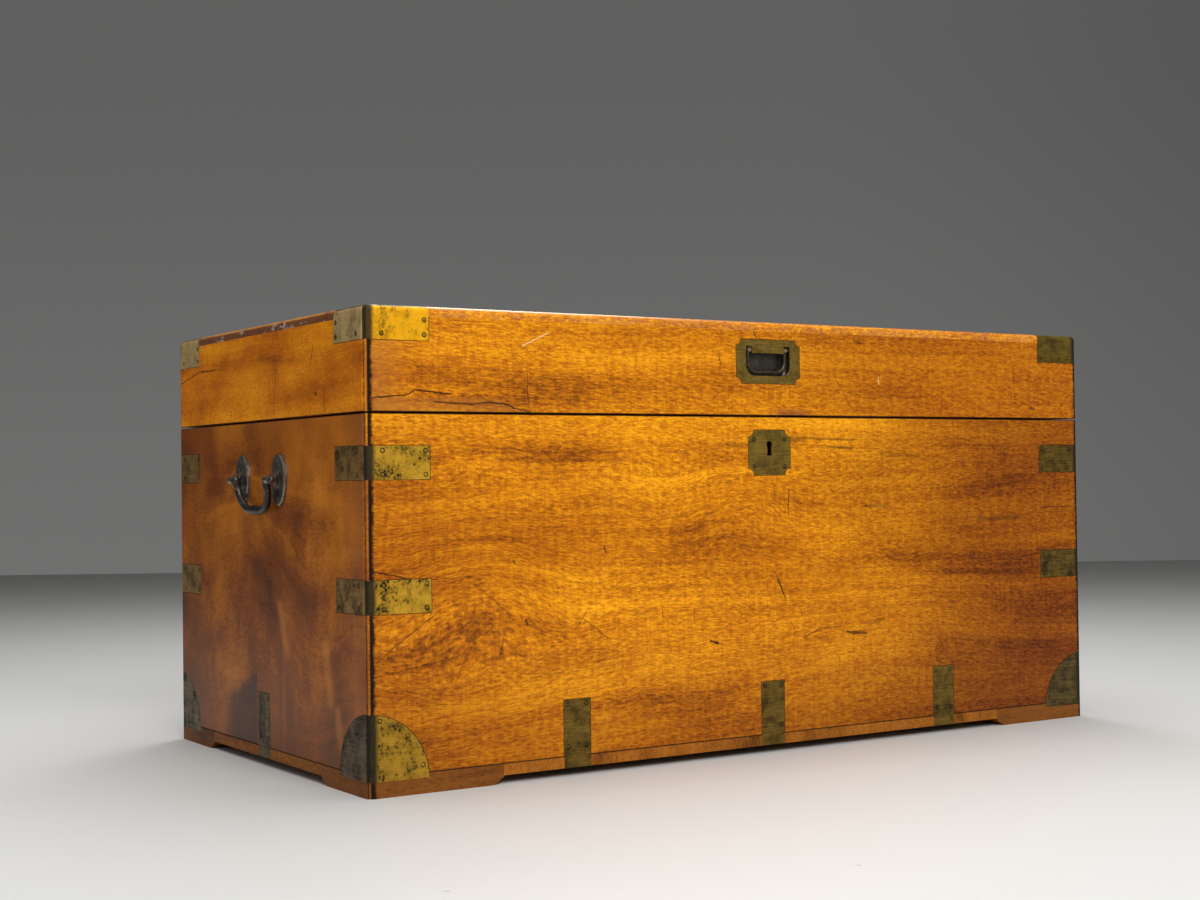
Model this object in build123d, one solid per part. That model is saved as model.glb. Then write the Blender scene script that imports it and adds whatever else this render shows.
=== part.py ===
from build123d import *
import math
import os

# A camphor wood trunk with inlaid brass straps, a sunk lid handle, drop handles on its ends,
# a lock behind its front and hinges at its back. Millimetres, +Z up, the front faces -Y.
# The origin is on the floor, under the middle of the whole trunk.

# Wooden case
WIDTH = 1016.0
DEPTH = 535.0
HEIGHT = 492.0
SEAM_HEIGHT = 384.0
SEAM_GAP = 2.0
BOARD = 20.0
CORNER_RADIUS = 8.0
LID_EDGE_RADIUS = 6.0
LID_TOP_LIP = 10.5
LID_TOP_BOARD = 17.0

# Hidden dovetails of the corners: a mitred lip outside, tails inside
MITRE_LIP = 6.0
TAIL_ROOT = 16.0
TAIL_FLARE = 3.0
TAIL_END_SPACE = 14.0
BODY_TAILS = 8
LID_TAILS = 2

# Base
BASE_TOP = 21.3
BASE_UNDERSIDE = 9.0
BASE_BOARDS = 3
FOOT_LENGTH = 154.0
FOOT_DEPTH = 113.0
FOOT_CHAMFER = 12.0
FOOT_CHAMFER_HEIGHT = 7.5
FOOT_RIM = 24.0

# Brass let flush into the wood
BRASS = 1.6
STRAP_WING = 72.0
STRAP_HEIGHT = 34.0
UPPER_STRAP_LOW = 316.5
MIDDLE_STRAP_LOW = 182.0
LID_CORNER_LOW = 457.0
LOWER_PLATE_LOW = 16.0
LOWER_PLATE_RADIUS = 67.0
BASE_STRAP_WIDTH = 33.0
BASE_STRAP_TOP = 81.0
BASE_STRAP_RETURN = 60.0
BASE_STRAP_SPACING = 264.0

# Nails and screws
NAIL_HEAD_RADIUS = 1.9
NAIL_HEAD_PROUD = 0.6
NAIL_SHANK_RADIUS = 0.8
NAIL_LENGTH = 9.0
ESCUTCHEON_PIN_LENGTH = 5.0
NAIL_NEAR = 19.0
NAIL_FAR = 67.0
NAIL_MARGIN = 5.0
NAIL_HEAD_FLAT = 0.6
LID_NAIL_HEIGHTS = (463.0, 478.0)
CORNER_NAIL_REACH = 7.0
CORNER_NAIL_TURNS = (12, 45, 78)
SCREW_HEAD_RADIUS = 3.2
SCREW_SHANK_RADIUS = 1.5
SCREW_LENGTH = 14.0
LONG_SCREW_LENGTH = 26.0
LOCK_SCREW_LENGTH = 11.0
BASE_NAIL_LENGTH = 38.0
BASE_NAIL_X = (-330, -200, -66, 66, 200, 330)
BASE_NAIL_Y = (-110, -40, 40, 110)
FOOT_SCREW_INSET = 12.0
FOOT_SCREW_X = 110.0
FOOT_SCREW_Y = 84.0

# Escutcheon and keyhole
ESCUTCHEON_WIDTH = 60.4
ESCUTCHEON_LOW = 316.6
ESCUTCHEON_TOP = 367.9
ESCUTCHEON_HOLLOW = 8.0
ESCUTCHEON_PIN_X = 22.0
ESCUTCHEON_PIN_HEIGHTS = (326.3, 357.5)
KEYHOLE_ROUND_HEIGHT = 351.5
KEYHOLE_RADIUS = 4.2
KEYHOLE_SLOT_WIDTH = 6.4
KEYHOLE_LOW = 339.0

# Chest lock
LOCK_PLATE_WIDTH = 104.0
LOCK_CASE_WIDTH = 76.0
LOCK_LOW = 320.0
LOCK_CASE_LOW = 325.0
LOCK_CASE_FRONT = 8.0
SELVEDGE_FRONT = 6.0
LOCK_SHEET = 1.6
SELVEDGE = 2.0
LOCK_SCREW_HEIGHTS = (328.0, 369.0)
BOLT_TRAVEL = 8.0
BOLT_HEIGHT = 9.0
BOLT_LOW = 357.0
BOLT_THICKNESS = 3.4
BOLT_BAR = (-34.5, 16.0)
BOLT_POST = 4.2
BOLT_FINGER = 12.0
BOLT_TIP_GAP = 1.0
BOLT_FINGER_HEIGHT = 4.4
BOLT_TALON_RADIUS = 3.2
BOLT_STUD_RADIUS = 1.5
BOLT_STUD_PLACES = (-20.0, 12.0)
SPRING_CLEARANCE = 0.4
SPRING_SHEET = 0.8
SPRING_WIDTH = 4.0
SPRING_ANCHOR = 9.0
SPRING_TIP = 6.0
STAPLE_THICKNESS = 3.0
STAPLE_WIDTH = 6.4
STAPLE_DROP = 13.0
STAPLE_X = 20.0
STAPLE_EYE_HEIGHT = 5.2
STAPLE_POCKET = (6.0, 10.0)
LINK_WIDTH = 84.0
LINK_DEPTHS = (7.0, 6.0)
LINK_SCREWS = (-34.0, 0.0, 34.0)
KEY_PIN_RADIUS = 1.5
KEY_PIN_GAP = 0.5
WARD_RADIUS = 7.0
WARD_SHEET = 1.0
WARD_REACH = 2.0
WARD_GAP = 6.0

# Sunk handle of the lid
LID_HANDLE_HEIGHT = 446.3
LID_HANDLE_PLATE = (91.4, 50.0)
LID_HANDLE_HOLLOW = 7.0
LID_HANDLE_APERTURE = 63.5
LID_HANDLE_APERTURE_LOW = 430.0
LID_HANDLE_APERTURE_TOP = 456.0
LID_HANDLE_APERTURE_CORNER = 12.0
LID_HANDLE_EAR = 9.0
LID_HANDLE_EAR_TOP = 464.2
LID_HANDLE_CUP_DEPTH = 11.5
LID_HANDLE_CUP_MARGIN = 3.0
LID_HANDLE_CUP_CORNER = 10.0
LID_HANDLE_CUP_EDGE = 6.0
LID_HANDLE_CUP_SHEET = 1.2
LID_HANDLE_SCREW_SIZE = 0.8
LID_HANDLE_SCREW_X = 38.0
LID_HANDLE_SCREW_TOP = 463.7
LID_HANDLE_LOW_SCREWS = (-17.0, -3.0, 11.0)
LID_HANDLE_LOW_SCREW_HEIGHT = 425.0
LID_HANDLE_LOW_SCREW_SIZE = 0.5
LID_BAIL_WIDTH = 56.5
LID_BAIL_RADIUS = 1.8
LID_BAIL_CORNER = 12.0
LID_BAIL_LOW = 433.0
LID_BAIL_PIVOT_HEIGHT = 460.2
LID_BAIL_PIVOT_DEPTH = 3.6
LID_BAIL_EYE_RADIUS = 3.2
LID_BAIL_EYE_LENGTH = 4.8
LID_BAIL_PIN_RADIUS = 1.3

# Drop handles of the ends
END_HANDLE_HEIGHT = 318.3
END_PLATE_SPACING = 106.0
END_PLATE_SIZE = (37.0, 57.0)
END_PLATE_THICKNESS = 4.0
END_PLATE_CHAMFER = 1.2
LUG_REACH = 14.0
LUG_THICKNESS = 9.0
LUG_HALF_ROOT = 10.0
LUG_BOSS_RADIUS = 4.6
LUG_WINDOW_WALL = 3.0
LUG_WINDOW_ROOT = 1.0
LUG_WINDOW_TIP = 1.6
LUG_WINDOW_HALF_TIP = 1.6
END_PIN_RADIUS = 2.6
END_BAIL_RADIUS = 4.2
END_BAIL_GRIP_RADIUS = 5.6
END_BAIL_DROP = 34.0
END_BAIL_CORNER = 28.0
END_BAIL_SIDE_GAP = 0.8
END_BAIL_LEAN = 11.0
END_BAIL_KNOB_RADIUS = 3.8
END_BAIL_KNOB_GAP = 0.4
END_BAIL_KNOB_SETBACK = 0.7
END_SCREW_SPACING = 42.0

# Hinges
HINGE_X = 300.0
HINGE_LENGTH = 96.0
HINGE_LEAF = 1.8
HINGE_LEAF_DEPTH = 17.0
KNUCKLE_RADIUS = 4.5
KNUCKLES = 5
KNUCKLE_GAP = 0.4
HINGE_PIN_RADIUS = 2.0
HINGE_FLANGE = 12.0
HINGE_STOP_ANGLE = 100.6
HINGE_SCREWS = (-36.0, -12.0, 12.0, 36.0)
HINGE_SCREW_INSET = 9.5

# Clearances
RUNNING_CLEARANCE = 0.05
FREE_CLEARANCE = 0.5
OVERSHOOT = 1.0

# Derived places
BODY_Y = (NAIL_HEAD_PROUD - 2 * KNUCKLE_RADIUS) / 2
FRONT = BODY_Y - DEPTH / 2
BACK = BODY_Y + DEPTH / 2
LEFT = -WIDTH / 2
RIGHT = WIDTH / 2
BODY_TOP = SEAM_HEIGHT - SEAM_GAP / 2
LID_BOTTOM = SEAM_HEIGHT + SEAM_GAP / 2
LID_RIM_TOP = HEIGHT - LID_TOP_LIP
HINGE_AXIS_Y = BACK + KNUCKLE_RADIUS
SIDES = (-1, 1)
CORNERS = [(side, end) for side in SIDES for end in SIDES]
DEPTH_MIDDLE = Plane((0, BODY_Y, 0), z_dir=(0, 1, 0))


# Drawing helpers

def cuboid(low, high):
    """A box between its lowest and its highest corner."""
    size = [top - bottom for bottom, top in zip(low, high)]
    return Pos(*low) * Box(*size, align=(Align.MIN, Align.MIN, Align.MIN))


def along_x(outline, near, far):
    """Extrude an outline drawn in Y and Z between two places on X."""
    return extrude(Plane.YZ.offset(near) * outline, far - near)


def along_y(outline, near, far):
    """Extrude an outline drawn in X and Z between two places on Y."""
    return extrude(Plane.XZ.offset(-far) * outline, far - near)


def along_z(outline, low, high):
    """Extrude an outline drawn in X and Y between two heights."""
    return extrude(Plane.XY.offset(low) * outline, high - low)


def polygon(points):
    return Polygon(*points, align=None)


def to_back(shape):
    return mirror(shape, about=DEPTH_MIDDLE)


def to_right(shape):
    return mirror(shape, about=Plane.YZ)


def hollow_cornered(width, height, hollow):
    """A rectangle whose corners are hollowed by circles."""
    corners = [Pos(side * width / 2, end * height / 2) * Circle(hollow) for side, end in CORNERS]
    return Rectangle(width, height) - corners


def corner_arc(reach):
    """Nail places round a quarter circle, as distances from its middle."""
    turns = [math.radians(turn) for turn in CORNER_NAIL_TURNS]
    return [(reach * math.cos(turn), reach * math.sin(turn)) for turn in turns]


def meets(one, other):
    """Tell whether two bounding boxes overlap."""
    lows = zip((one.min.X, one.min.Y, one.min.Z), (other.max.X, other.max.Y, other.max.Z))
    highs = zip((one.max.X, one.max.Y, one.max.Z), (other.min.X, other.min.Y, other.min.Z))
    return all(low < high for low, high in lows) and all(high > low for high, low in highs)


def quick_box(shape):
    return shape.bounding_box(optimal=False)


def cut(piece, *tools):
    """Cut from a piece each solid of the tools that comes near it."""
    box = quick_box(piece)
    near = [solid for tool in tools for solid in tool.solids() if meets(box, quick_box(solid))]
    return piece - near if near else piece


def grouped(shapes):
    """Separate solids kept together under one name."""
    return Compound(children=[solid for shape in shapes for solid in shape.solids()])


# Outer forms of the wood and of the brass let into it

def case_block(low, high, inset=0.0):
    """The case's outer form between two heights, with rounded upright edges."""
    outline = RectangleRounded(WIDTH - 2 * inset, DEPTH - 2 * inset, CORNER_RADIUS - inset)
    return Pos(0, BODY_Y, 0) * along_z(outline, low, high)


def lid_block(inset=0.0):
    """The lid's outer form, with its top edge rounded as well."""
    block = case_block(LID_BOTTOM, HEIGHT - inset, inset)
    top_edges = block.faces().sort_by(Axis.Z)[-1].edges()
    return fillet(top_edges, LID_EDGE_RADIUS - inset)


def corner_region(side, end, reach, low, high):
    """A square column at one corner of the case."""
    x_range = sorted((side * WIDTH / 2, side * (WIDTH / 2 - reach)))
    y_range = sorted((BODY_Y + end * DEPTH / 2, BODY_Y + end * (DEPTH / 2 - reach)))
    return cuboid((x_range[0], y_range[0], low), (x_range[1], y_range[1], high))


def body_skin():
    """The thickness of the inlaid brass, all round the body."""
    return case_block(0, BODY_TOP) - case_block(0, BODY_TOP, BRASS)


# Boards of the body and of the lid

def dovetails(low, high, count):
    """Tails at the front board's left end, which flare towards the left."""
    first = low + TAIL_END_SPACE + TAIL_FLARE + TAIL_ROOT / 2
    last = high - TAIL_END_SPACE - TAIL_FLARE - TAIL_ROOT / 2
    tails = []
    for index in range(count):
        middle = first + (last - first) * index / (count - 1)
        root = TAIL_ROOT / 2
        end = TAIL_ROOT / 2 + TAIL_FLARE
        outline = polygon([
            (LEFT + BOARD, middle - root),
            (LEFT + BOARD, middle + root),
            (LEFT + MITRE_LIP, middle + end),
            (LEFT + MITRE_LIP, middle - end),
        ])
        tails.append(along_y(outline, FRONT + MITRE_LIP, FRONT + BOARD))
    return tails


def board_ring(low, high, tail_count):
    """Front, back, left and right boards, joined by mitres with dovetails hidden inside."""
    front = along_z(polygon([
        (LEFT, FRONT),
        (RIGHT, FRONT),
        (RIGHT - BOARD, FRONT + BOARD),
        (LEFT + BOARD, FRONT + BOARD),
    ]), low, high)
    left = along_z(polygon([
        (LEFT, FRONT),
        (LEFT + BOARD, FRONT + BOARD),
        (LEFT + BOARD, BACK - BOARD),
        (LEFT, BACK),
    ]), low, high)
    socket = cuboid((LEFT + MITRE_LIP, FRONT + MITRE_LIP, low + TAIL_END_SPACE),
                    (LEFT + BOARD, FRONT + BOARD, high - TAIL_END_SPACE))
    tails = dovetails(low, high, tail_count)
    pins = socket - tails
    front = front - [socket, to_right(socket)]
    front = front + tails + [to_right(tail) for tail in tails]
    left = left + [socket, to_back(socket)]
    left = left - tails - [to_back(tail) for tail in tails]
    outer = case_block(low, high)
    return front & outer, to_back(front) & outer, left & outer, to_right(left) & outer


# Base

def foot():
    """The front left foot: a block with chamfered ends and a rim that the base boards stop at."""
    front_view = polygon([
        (LEFT, 0),
        (LEFT + FOOT_LENGTH - FOOT_CHAMFER, 0),
        (LEFT + FOOT_LENGTH, FOOT_CHAMFER_HEIGHT),
        (LEFT + FOOT_LENGTH, BASE_TOP),
        (LEFT, BASE_TOP),
    ])
    end_view = polygon([
        (FRONT, 0),
        (FRONT + FOOT_DEPTH - FOOT_CHAMFER, 0),
        (FRONT + FOOT_DEPTH, FOOT_CHAMFER_HEIGHT),
        (FRONT + FOOT_DEPTH, BASE_TOP),
        (FRONT, BASE_TOP),
    ])
    block = along_y(front_view, FRONT, FRONT + FOOT_DEPTH) & along_x(end_view, LEFT, LEFT + FOOT_LENGTH)
    rebate = cuboid((LEFT + FOOT_RIM, FRONT + FOOT_RIM, BASE_UNDERSIDE),
                    (LEFT + FOOT_LENGTH, FRONT + FOOT_DEPTH, BASE_TOP))
    return (block - rebate) & case_block(0, BASE_TOP)


def base_board(index):
    """One of the boards that run from front to back under the body."""
    width = WIDTH / BASE_BOARDS
    region = cuboid((LEFT + index * width, FRONT, BASE_UNDERSIDE),
                    (LEFT + (index + 1) * width, BACK, BASE_TOP))
    return region & case_block(BASE_UNDERSIDE, BASE_TOP)


# Brass of the body

def corner_straps(skin, low):
    """Four straps, each bent round one upright edge."""
    return [skin & corner_region(side, end, STRAP_WING, low, low + STRAP_HEIGHT)
            for side, end in CORNERS]


def lower_corner_plate(skin):
    """The front left plate, with a quarter-round wing on each face."""
    column = corner_region(-1, -1, LOWER_PLATE_RADIUS, LOWER_PLATE_LOW,
                           LOWER_PLATE_LOW + LOWER_PLATE_RADIUS)
    disc = Circle(LOWER_PLATE_RADIUS)
    front_wing = along_y(Pos(LEFT, LOWER_PLATE_LOW) * disc, FRONT, FRONT + CORNER_RADIUS)
    left_wing = along_x(Pos(FRONT, LOWER_PLATE_LOW) * disc, LEFT, LEFT + CORNER_RADIUS)
    return skin & column & (front_wing + left_wing)


def front_base_strap(middle):
    """A strap that stands on the front and turns under the base boards."""
    low_x = middle - BASE_STRAP_WIDTH / 2
    high_x = middle + BASE_STRAP_WIDTH / 2
    upright = cuboid((low_x, FRONT, BASE_UNDERSIDE), (high_x, FRONT + BRASS, BASE_STRAP_TOP))
    under = cuboid((low_x, FRONT, BASE_UNDERSIDE),
                   (high_x, FRONT + BASE_STRAP_RETURN, BASE_UNDERSIDE + BRASS))
    return upright + under


def left_base_strap():
    """The same strap in the middle of the left end."""
    low_y = BODY_Y - BASE_STRAP_WIDTH / 2
    high_y = BODY_Y + BASE_STRAP_WIDTH / 2
    upright = cuboid((LEFT, low_y, BASE_UNDERSIDE), (LEFT + BRASS, high_y, BASE_STRAP_TOP))
    under = cuboid((LEFT, low_y, BASE_UNDERSIDE),
                   (LEFT + BASE_STRAP_RETURN, high_y, BASE_UNDERSIDE + BRASS))
    return upright + under


# Nails and screws

def round_head_nail(length=NAIL_LENGTH):
    """A nail along -Z with a low bevelled head that stands on Z 0."""
    profile = polygon([
        (0, NAIL_HEAD_PROUD),
        (NAIL_HEAD_RADIUS * NAIL_HEAD_FLAT, NAIL_HEAD_PROUD),
        (NAIL_HEAD_RADIUS, 0),
        (NAIL_SHANK_RADIUS, 0),
        (NAIL_SHANK_RADIUS, -length),
        (0, -length),
    ])
    return revolve(Plane.XZ * profile, Axis.Z)


def countersunk_screw(length):
    """A screw along -Z with its flat head at Z 0."""
    neck = SCREW_HEAD_RADIUS - SCREW_SHANK_RADIUS
    profile = polygon([
        (0, 0),
        (SCREW_HEAD_RADIUS, 0),
        (SCREW_SHANK_RADIUS, -neck),
        (SCREW_SHANK_RADIUS, -length),
        (0, -length),
    ])
    return revolve(Plane.XZ * profile, Axis.Z)


def placed(fastener, place, outward):
    """Put a fastener at a place, with its head facing outward."""
    return Plane(origin=place, z_dir=outward) * fastener


def wing_places(side, end, points):
    """Nail places on both wings of a corner, from (distance from the edge, height) pairs."""
    places = []
    for distance, height in points:
        face_y = BODY_Y + end * DEPTH / 2
        face_x = side * WIDTH / 2
        places.append(((side * (WIDTH / 2 - distance), face_y, height), (0, end, 0)))
        places.append(((face_x, BODY_Y + end * (DEPTH / 2 - distance), height), (side, 0, 0)))
    return places


def strap_nail_points(low):
    return [(distance, height) for distance in (NAIL_NEAR, NAIL_FAR)
            for height in (low + NAIL_MARGIN, low + STRAP_HEIGHT - NAIL_MARGIN)]


def body_nails():
    nail = round_head_nail()
    arc = corner_arc(LOWER_PLATE_RADIUS - NAIL_MARGIN)
    plate_points = [(along, LOWER_PLATE_LOW + up) for along, up in arc]
    points = strap_nail_points(UPPER_STRAP_LOW) + strap_nail_points(MIDDLE_STRAP_LOW) + plate_points
    places = []
    for side, end in CORNERS:
        places += wing_places(side, end, points)
    half = BASE_STRAP_WIDTH / 2 - NAIL_MARGIN
    strap_heights = (BASE_STRAP_TOP - NAIL_MARGIN, BASE_TOP + 2 * NAIL_MARGIN)
    under = BASE_STRAP_RETURN - NAIL_MARGIN
    for end in SIDES:
        face_y = BODY_Y + end * DEPTH / 2
        for middle in (-BASE_STRAP_SPACING, 0, BASE_STRAP_SPACING):
            for offset in (-half, half):
                places += [((middle + offset, face_y, height), (0, end, 0)) for height in strap_heights]
                places.append(((middle + offset, face_y - end * under, BASE_UNDERSIDE), (0, 0, -1)))
    for side in SIDES:
        face_x = side * WIDTH / 2
        for offset in (-half, half):
            places += [((face_x, BODY_Y + offset, height), (side, 0, 0)) for height in strap_heights]
            places.append(((face_x - side * under, BODY_Y + offset, BASE_UNDERSIDE), (0, 0, -1)))
    return grouped([placed(nail, place, outward) for place, outward in places])


def lid_nails():
    nail = round_head_nail()
    low, high = LID_NAIL_HEIGHTS
    wing_points = [(NAIL_NEAR, low), (NAIL_FAR, low), (NAIL_FAR, high)]
    places = []
    for side, end in CORNERS:
        places += wing_places(side, end, wing_points)
        for inward, across in corner_arc(STRAP_WING - CORNER_NAIL_REACH):
            x = side * (WIDTH / 2 - inward)
            y = BODY_Y + end * (DEPTH / 2 - across)
            places.append(((x, y, HEIGHT), (0, 0, 1)))
    return grouped([placed(nail, place, outward) for place, outward in places])


def base_nails():
    """Nails that hold the base boards up to the lower edges of the body boards."""
    nail = Pos(0, 0, -BASE_NAIL_LENGTH / 2) * Cylinder(NAIL_SHANK_RADIUS, BASE_NAIL_LENGTH)
    inset = BOARD / 2
    places = []
    for end in SIDES:
        y = BODY_Y + end * (DEPTH / 2 - inset)
        places += [(x, y, BASE_UNDERSIDE) for x in BASE_NAIL_X]
    for side in SIDES:
        x = side * (WIDTH / 2 - inset)
        places += [(x, BODY_Y + y, BASE_UNDERSIDE) for y in BASE_NAIL_Y]
    return grouped([placed(nail, place, (0, 0, -1)) for place in places])


def foot_screws():
    """Two screws up through each foot into the base boards and the body."""
    screw = countersunk_screw(LONG_SCREW_LENGTH)
    places = []
    for side, end in CORNERS:
        edge_x = WIDTH / 2 - FOOT_SCREW_INSET
        edge_y = DEPTH / 2 - FOOT_SCREW_INSET
        places.append((side * (WIDTH / 2 - FOOT_SCREW_X), BODY_Y + end * edge_y, 0))
        places.append((side * edge_x, BODY_Y + end * (DEPTH / 2 - FOOT_SCREW_Y), 0))
    return grouped([placed(screw, place, (0, 0, -1)) for place in places])


# Escutcheon and lock

def escutcheon_blank():
    """The escutcheon before its keyhole is cut, which is also its recess in the front."""
    height = ESCUTCHEON_TOP - ESCUTCHEON_LOW
    outline = hollow_cornered(ESCUTCHEON_WIDTH, height, ESCUTCHEON_HOLLOW)
    return along_y(Pos(0, ESCUTCHEON_LOW + height / 2) * outline, FRONT, FRONT + BRASS)


def keyhole(near, far):
    """The keyhole's form between two depths behind the front."""
    round_part = Pos(0, KEYHOLE_ROUND_HEIGHT) * Circle(KEYHOLE_RADIUS)
    middle = (KEYHOLE_ROUND_HEIGHT + KEYHOLE_LOW) / 2
    slot = Pos(0, middle) * Rectangle(KEYHOLE_SLOT_WIDTH, KEYHOLE_ROUND_HEIGHT - KEYHOLE_LOW)
    return along_y(round_part + slot, FRONT + near, FRONT + far)


def escutcheon_pins():
    nail = round_head_nail(ESCUTCHEON_PIN_LENGTH)
    places = [(side * ESCUTCHEON_PIN_X, FRONT, height) for side in SIDES for height in ESCUTCHEON_PIN_HEIGHTS]
    return grouped([placed(nail, place, (0, -1, 0)) for place in places])


def lock_case_block():
    half = LOCK_CASE_WIDTH / 2
    return cuboid((-half, FRONT + LOCK_CASE_FRONT, LOCK_CASE_LOW),
                  (half, FRONT + BOARD - LOCK_SHEET, BODY_TOP - SELVEDGE))


def lock_case():
    """A tray that is open towards the plate and upwards under the selvedge."""
    half = LOCK_CASE_WIDTH / 2 - LOCK_SHEET
    hollow = cuboid((-half, FRONT + LOCK_CASE_FRONT + LOCK_SHEET, LOCK_CASE_LOW + LOCK_SHEET),
                    (half, FRONT + BOARD, BODY_TOP))
    return lock_case_block() - hollow - keyhole(0, BOARD)


def staple_middles():
    return (-STAPLE_X, STAPLE_X)


def staple_slots(width, depth):
    """Openings through the selvedge's thickness at both staples."""
    middle = staple_depth()
    return [cuboid((x - width / 2, middle - depth / 2, BODY_TOP - SELVEDGE),
                   (x + width / 2, middle + depth / 2, BODY_TOP)) for x in staple_middles()]


def lock_plate():
    """The inner plate and the selvedge over the board's edge, with slots for the staples."""
    half = LOCK_PLATE_WIDTH / 2
    plate = cuboid((-half, FRONT + BOARD - LOCK_SHEET, LOCK_LOW), (half, FRONT + BOARD, BODY_TOP))
    selvedge = cuboid((-half, FRONT + SELVEDGE_FRONT, BODY_TOP - SELVEDGE),
                      (half, FRONT + BOARD, BODY_TOP))
    middle = staple_depth()
    slots = staple_slots(STAPLE_THICKNESS + 2 * FREE_CLEARANCE, STAPLE_WIDTH + 2 * FREE_CLEARANCE)
    stud_height = BOLT_LOW + BOLT_HEIGHT / 2
    studs = [along_y(Pos(x, stud_height) * Circle(BOLT_STUD_RADIUS), middle - BOLT_THICKNESS,
                     FRONT + BOARD - LOCK_SHEET) for x in BOLT_STUD_PLACES]
    return plate + selvedge + studs - slots


def staple_depth():
    """The middle of the lock case's hollow, on Y."""
    return FRONT + (LOCK_CASE_FRONT + BOARD) / 2


def bolt_finger_height():
    """The middle of the staples' eyes."""
    return LID_BOTTOM - STAPLE_DROP + STAPLE_EYE_HEIGHT


def lock_bolt():
    """A bar with two posts, whose fingers point at the staples' eyes when it is drawn back."""
    middle = staple_depth()
    near = middle - BOLT_THICKNESS / 2
    far = middle + BOLT_THICKNESS / 2
    finger = bolt_finger_height()
    bar = cuboid((BOLT_BAR[0], near, BOLT_LOW), (BOLT_BAR[1], far, BOLT_LOW + BOLT_HEIGHT))
    posts = []
    for x in staple_middles():
        tip = x - STAPLE_THICKNESS / 2 - BOLT_TIP_GAP
        posts.append(cuboid((tip - BOLT_FINGER, near, BOLT_LOW + BOLT_HEIGHT),
                            (tip - BOLT_FINGER + BOLT_POST, far, finger + BOLT_FINGER_HEIGHT / 2)))
        posts.append(cuboid((tip - BOLT_FINGER, near, finger - BOLT_FINGER_HEIGHT / 2),
                            (tip, far, finger + BOLT_FINGER_HEIGHT / 2)))
    talon = along_y(Pos(0, BOLT_LOW) * Circle(BOLT_TALON_RADIUS), near, far)
    slot_radius = BOLT_STUD_RADIUS + FREE_CLEARANCE / 2
    slots = []
    for x in BOLT_STUD_PLACES:
        outline = SlotCenterToCenter(BOLT_TRAVEL, 2 * slot_radius)
        place = Pos(x - BOLT_TRAVEL / 2, BOLT_LOW + BOLT_HEIGHT / 2)
        slots.append(along_y(place * outline, near, far))
    return bar + posts - talon - slots


def link_plate():
    """The plate under the lid's front rim, with its two eyed staples."""
    middle = staple_depth()
    plate = cuboid((-LINK_WIDTH / 2, middle - LINK_DEPTHS[0], LID_BOTTOM),
                   (LINK_WIDTH / 2, middle + LINK_DEPTHS[1], LID_BOTTOM + SELVEDGE))
    finger = bolt_finger_height()
    eye_half_width = BOLT_THICKNESS / 2 + FREE_CLEARANCE
    eye_half_height = BOLT_FINGER_HEIGHT / 2 + FREE_CLEARANCE
    staples = []
    for x in staple_middles():
        tongue = cuboid((x - STAPLE_THICKNESS / 2, middle - STAPLE_WIDTH / 2, LID_BOTTOM - STAPLE_DROP),
                        (x + STAPLE_THICKNESS / 2, middle + STAPLE_WIDTH / 2, LID_BOTTOM))
        eye = cuboid((x - STAPLE_THICKNESS, middle - eye_half_width, finger - eye_half_height),
                     (x + STAPLE_THICKNESS, middle + eye_half_width, finger + eye_half_height))
        staples.append(tongue - eye)
    return plate + staples


def lock_key_pin():
    """The pin in the middle of the keyhole's round part that a pipe key turns on."""
    outline = Pos(0, KEYHOLE_ROUND_HEIGHT) * Circle(KEY_PIN_RADIUS)
    return along_y(outline, FRONT + LOCK_CASE_FRONT + KEY_PIN_GAP, FRONT + BOARD - LOCK_SHEET)


def lock_ward():
    """A ring that stands on the plate round the key pin, open below."""
    gap = Pos(0, -WARD_RADIUS) * Rectangle(WARD_GAP, 2 * WARD_RADIUS)
    ring = Circle(WARD_RADIUS) - Circle(WARD_RADIUS - WARD_SHEET) - gap
    far = FRONT + BOARD - LOCK_SHEET
    return along_y(Pos(0, KEYHOLE_ROUND_HEIGHT) * ring, far - WARD_REACH, far)


def lock_bolt_spring():
    """A leaf spring held at the case's right wall, which lies along under the bolt's bar."""
    near = staple_depth() - SPRING_WIDTH / 2
    far = staple_depth() + SPRING_WIDTH / 2
    right = LOCK_CASE_WIDTH / 2 - LOCK_SHEET
    top = BOLT_LOW - SPRING_CLEARANCE
    anchor = cuboid((right - SPRING_SHEET, near, top - SPRING_ANCHOR), (right, far, top))
    leaf = cuboid((SPRING_TIP, near, top - SPRING_SHEET), (right, far, top))
    return anchor + leaf


# Sunk handle of the lid

def lid_handle_window():
    """The opening in the plate: rounded below, with two ears above for the bail's eyes."""
    half = LID_HANDLE_APERTURE / 2
    height = LID_HANDLE_APERTURE_TOP - LID_HANDLE_APERTURE_LOW
    main = Pos(0, LID_HANDLE_APERTURE_LOW + height / 2) * Rectangle(LID_HANDLE_APERTURE, height)
    lower_corners = main.vertices().group_by(Axis.Y)[0]
    main = fillet(lower_corners, LID_HANDLE_APERTURE_CORNER)
    ear_height = LID_HANDLE_EAR_TOP - LID_HANDLE_APERTURE_TOP
    ears = [Pos(side * (half - LID_HANDLE_EAR / 2), LID_HANDLE_APERTURE_TOP + ear_height / 2)
            * Rectangle(LID_HANDLE_EAR, ear_height) for side in SIDES]
    return main + ears


def lid_handle_blank():
    """The plate before its window is cut, which is also its recess in the lid's front."""
    outline = hollow_cornered(*LID_HANDLE_PLATE, LID_HANDLE_HOLLOW)
    return along_y(Pos(0, LID_HANDLE_HEIGHT) * outline, FRONT, FRONT + BRASS)


def lid_handle_plate():
    return lid_handle_blank() - along_y(lid_handle_window(), FRONT, FRONT + BRASS)


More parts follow.
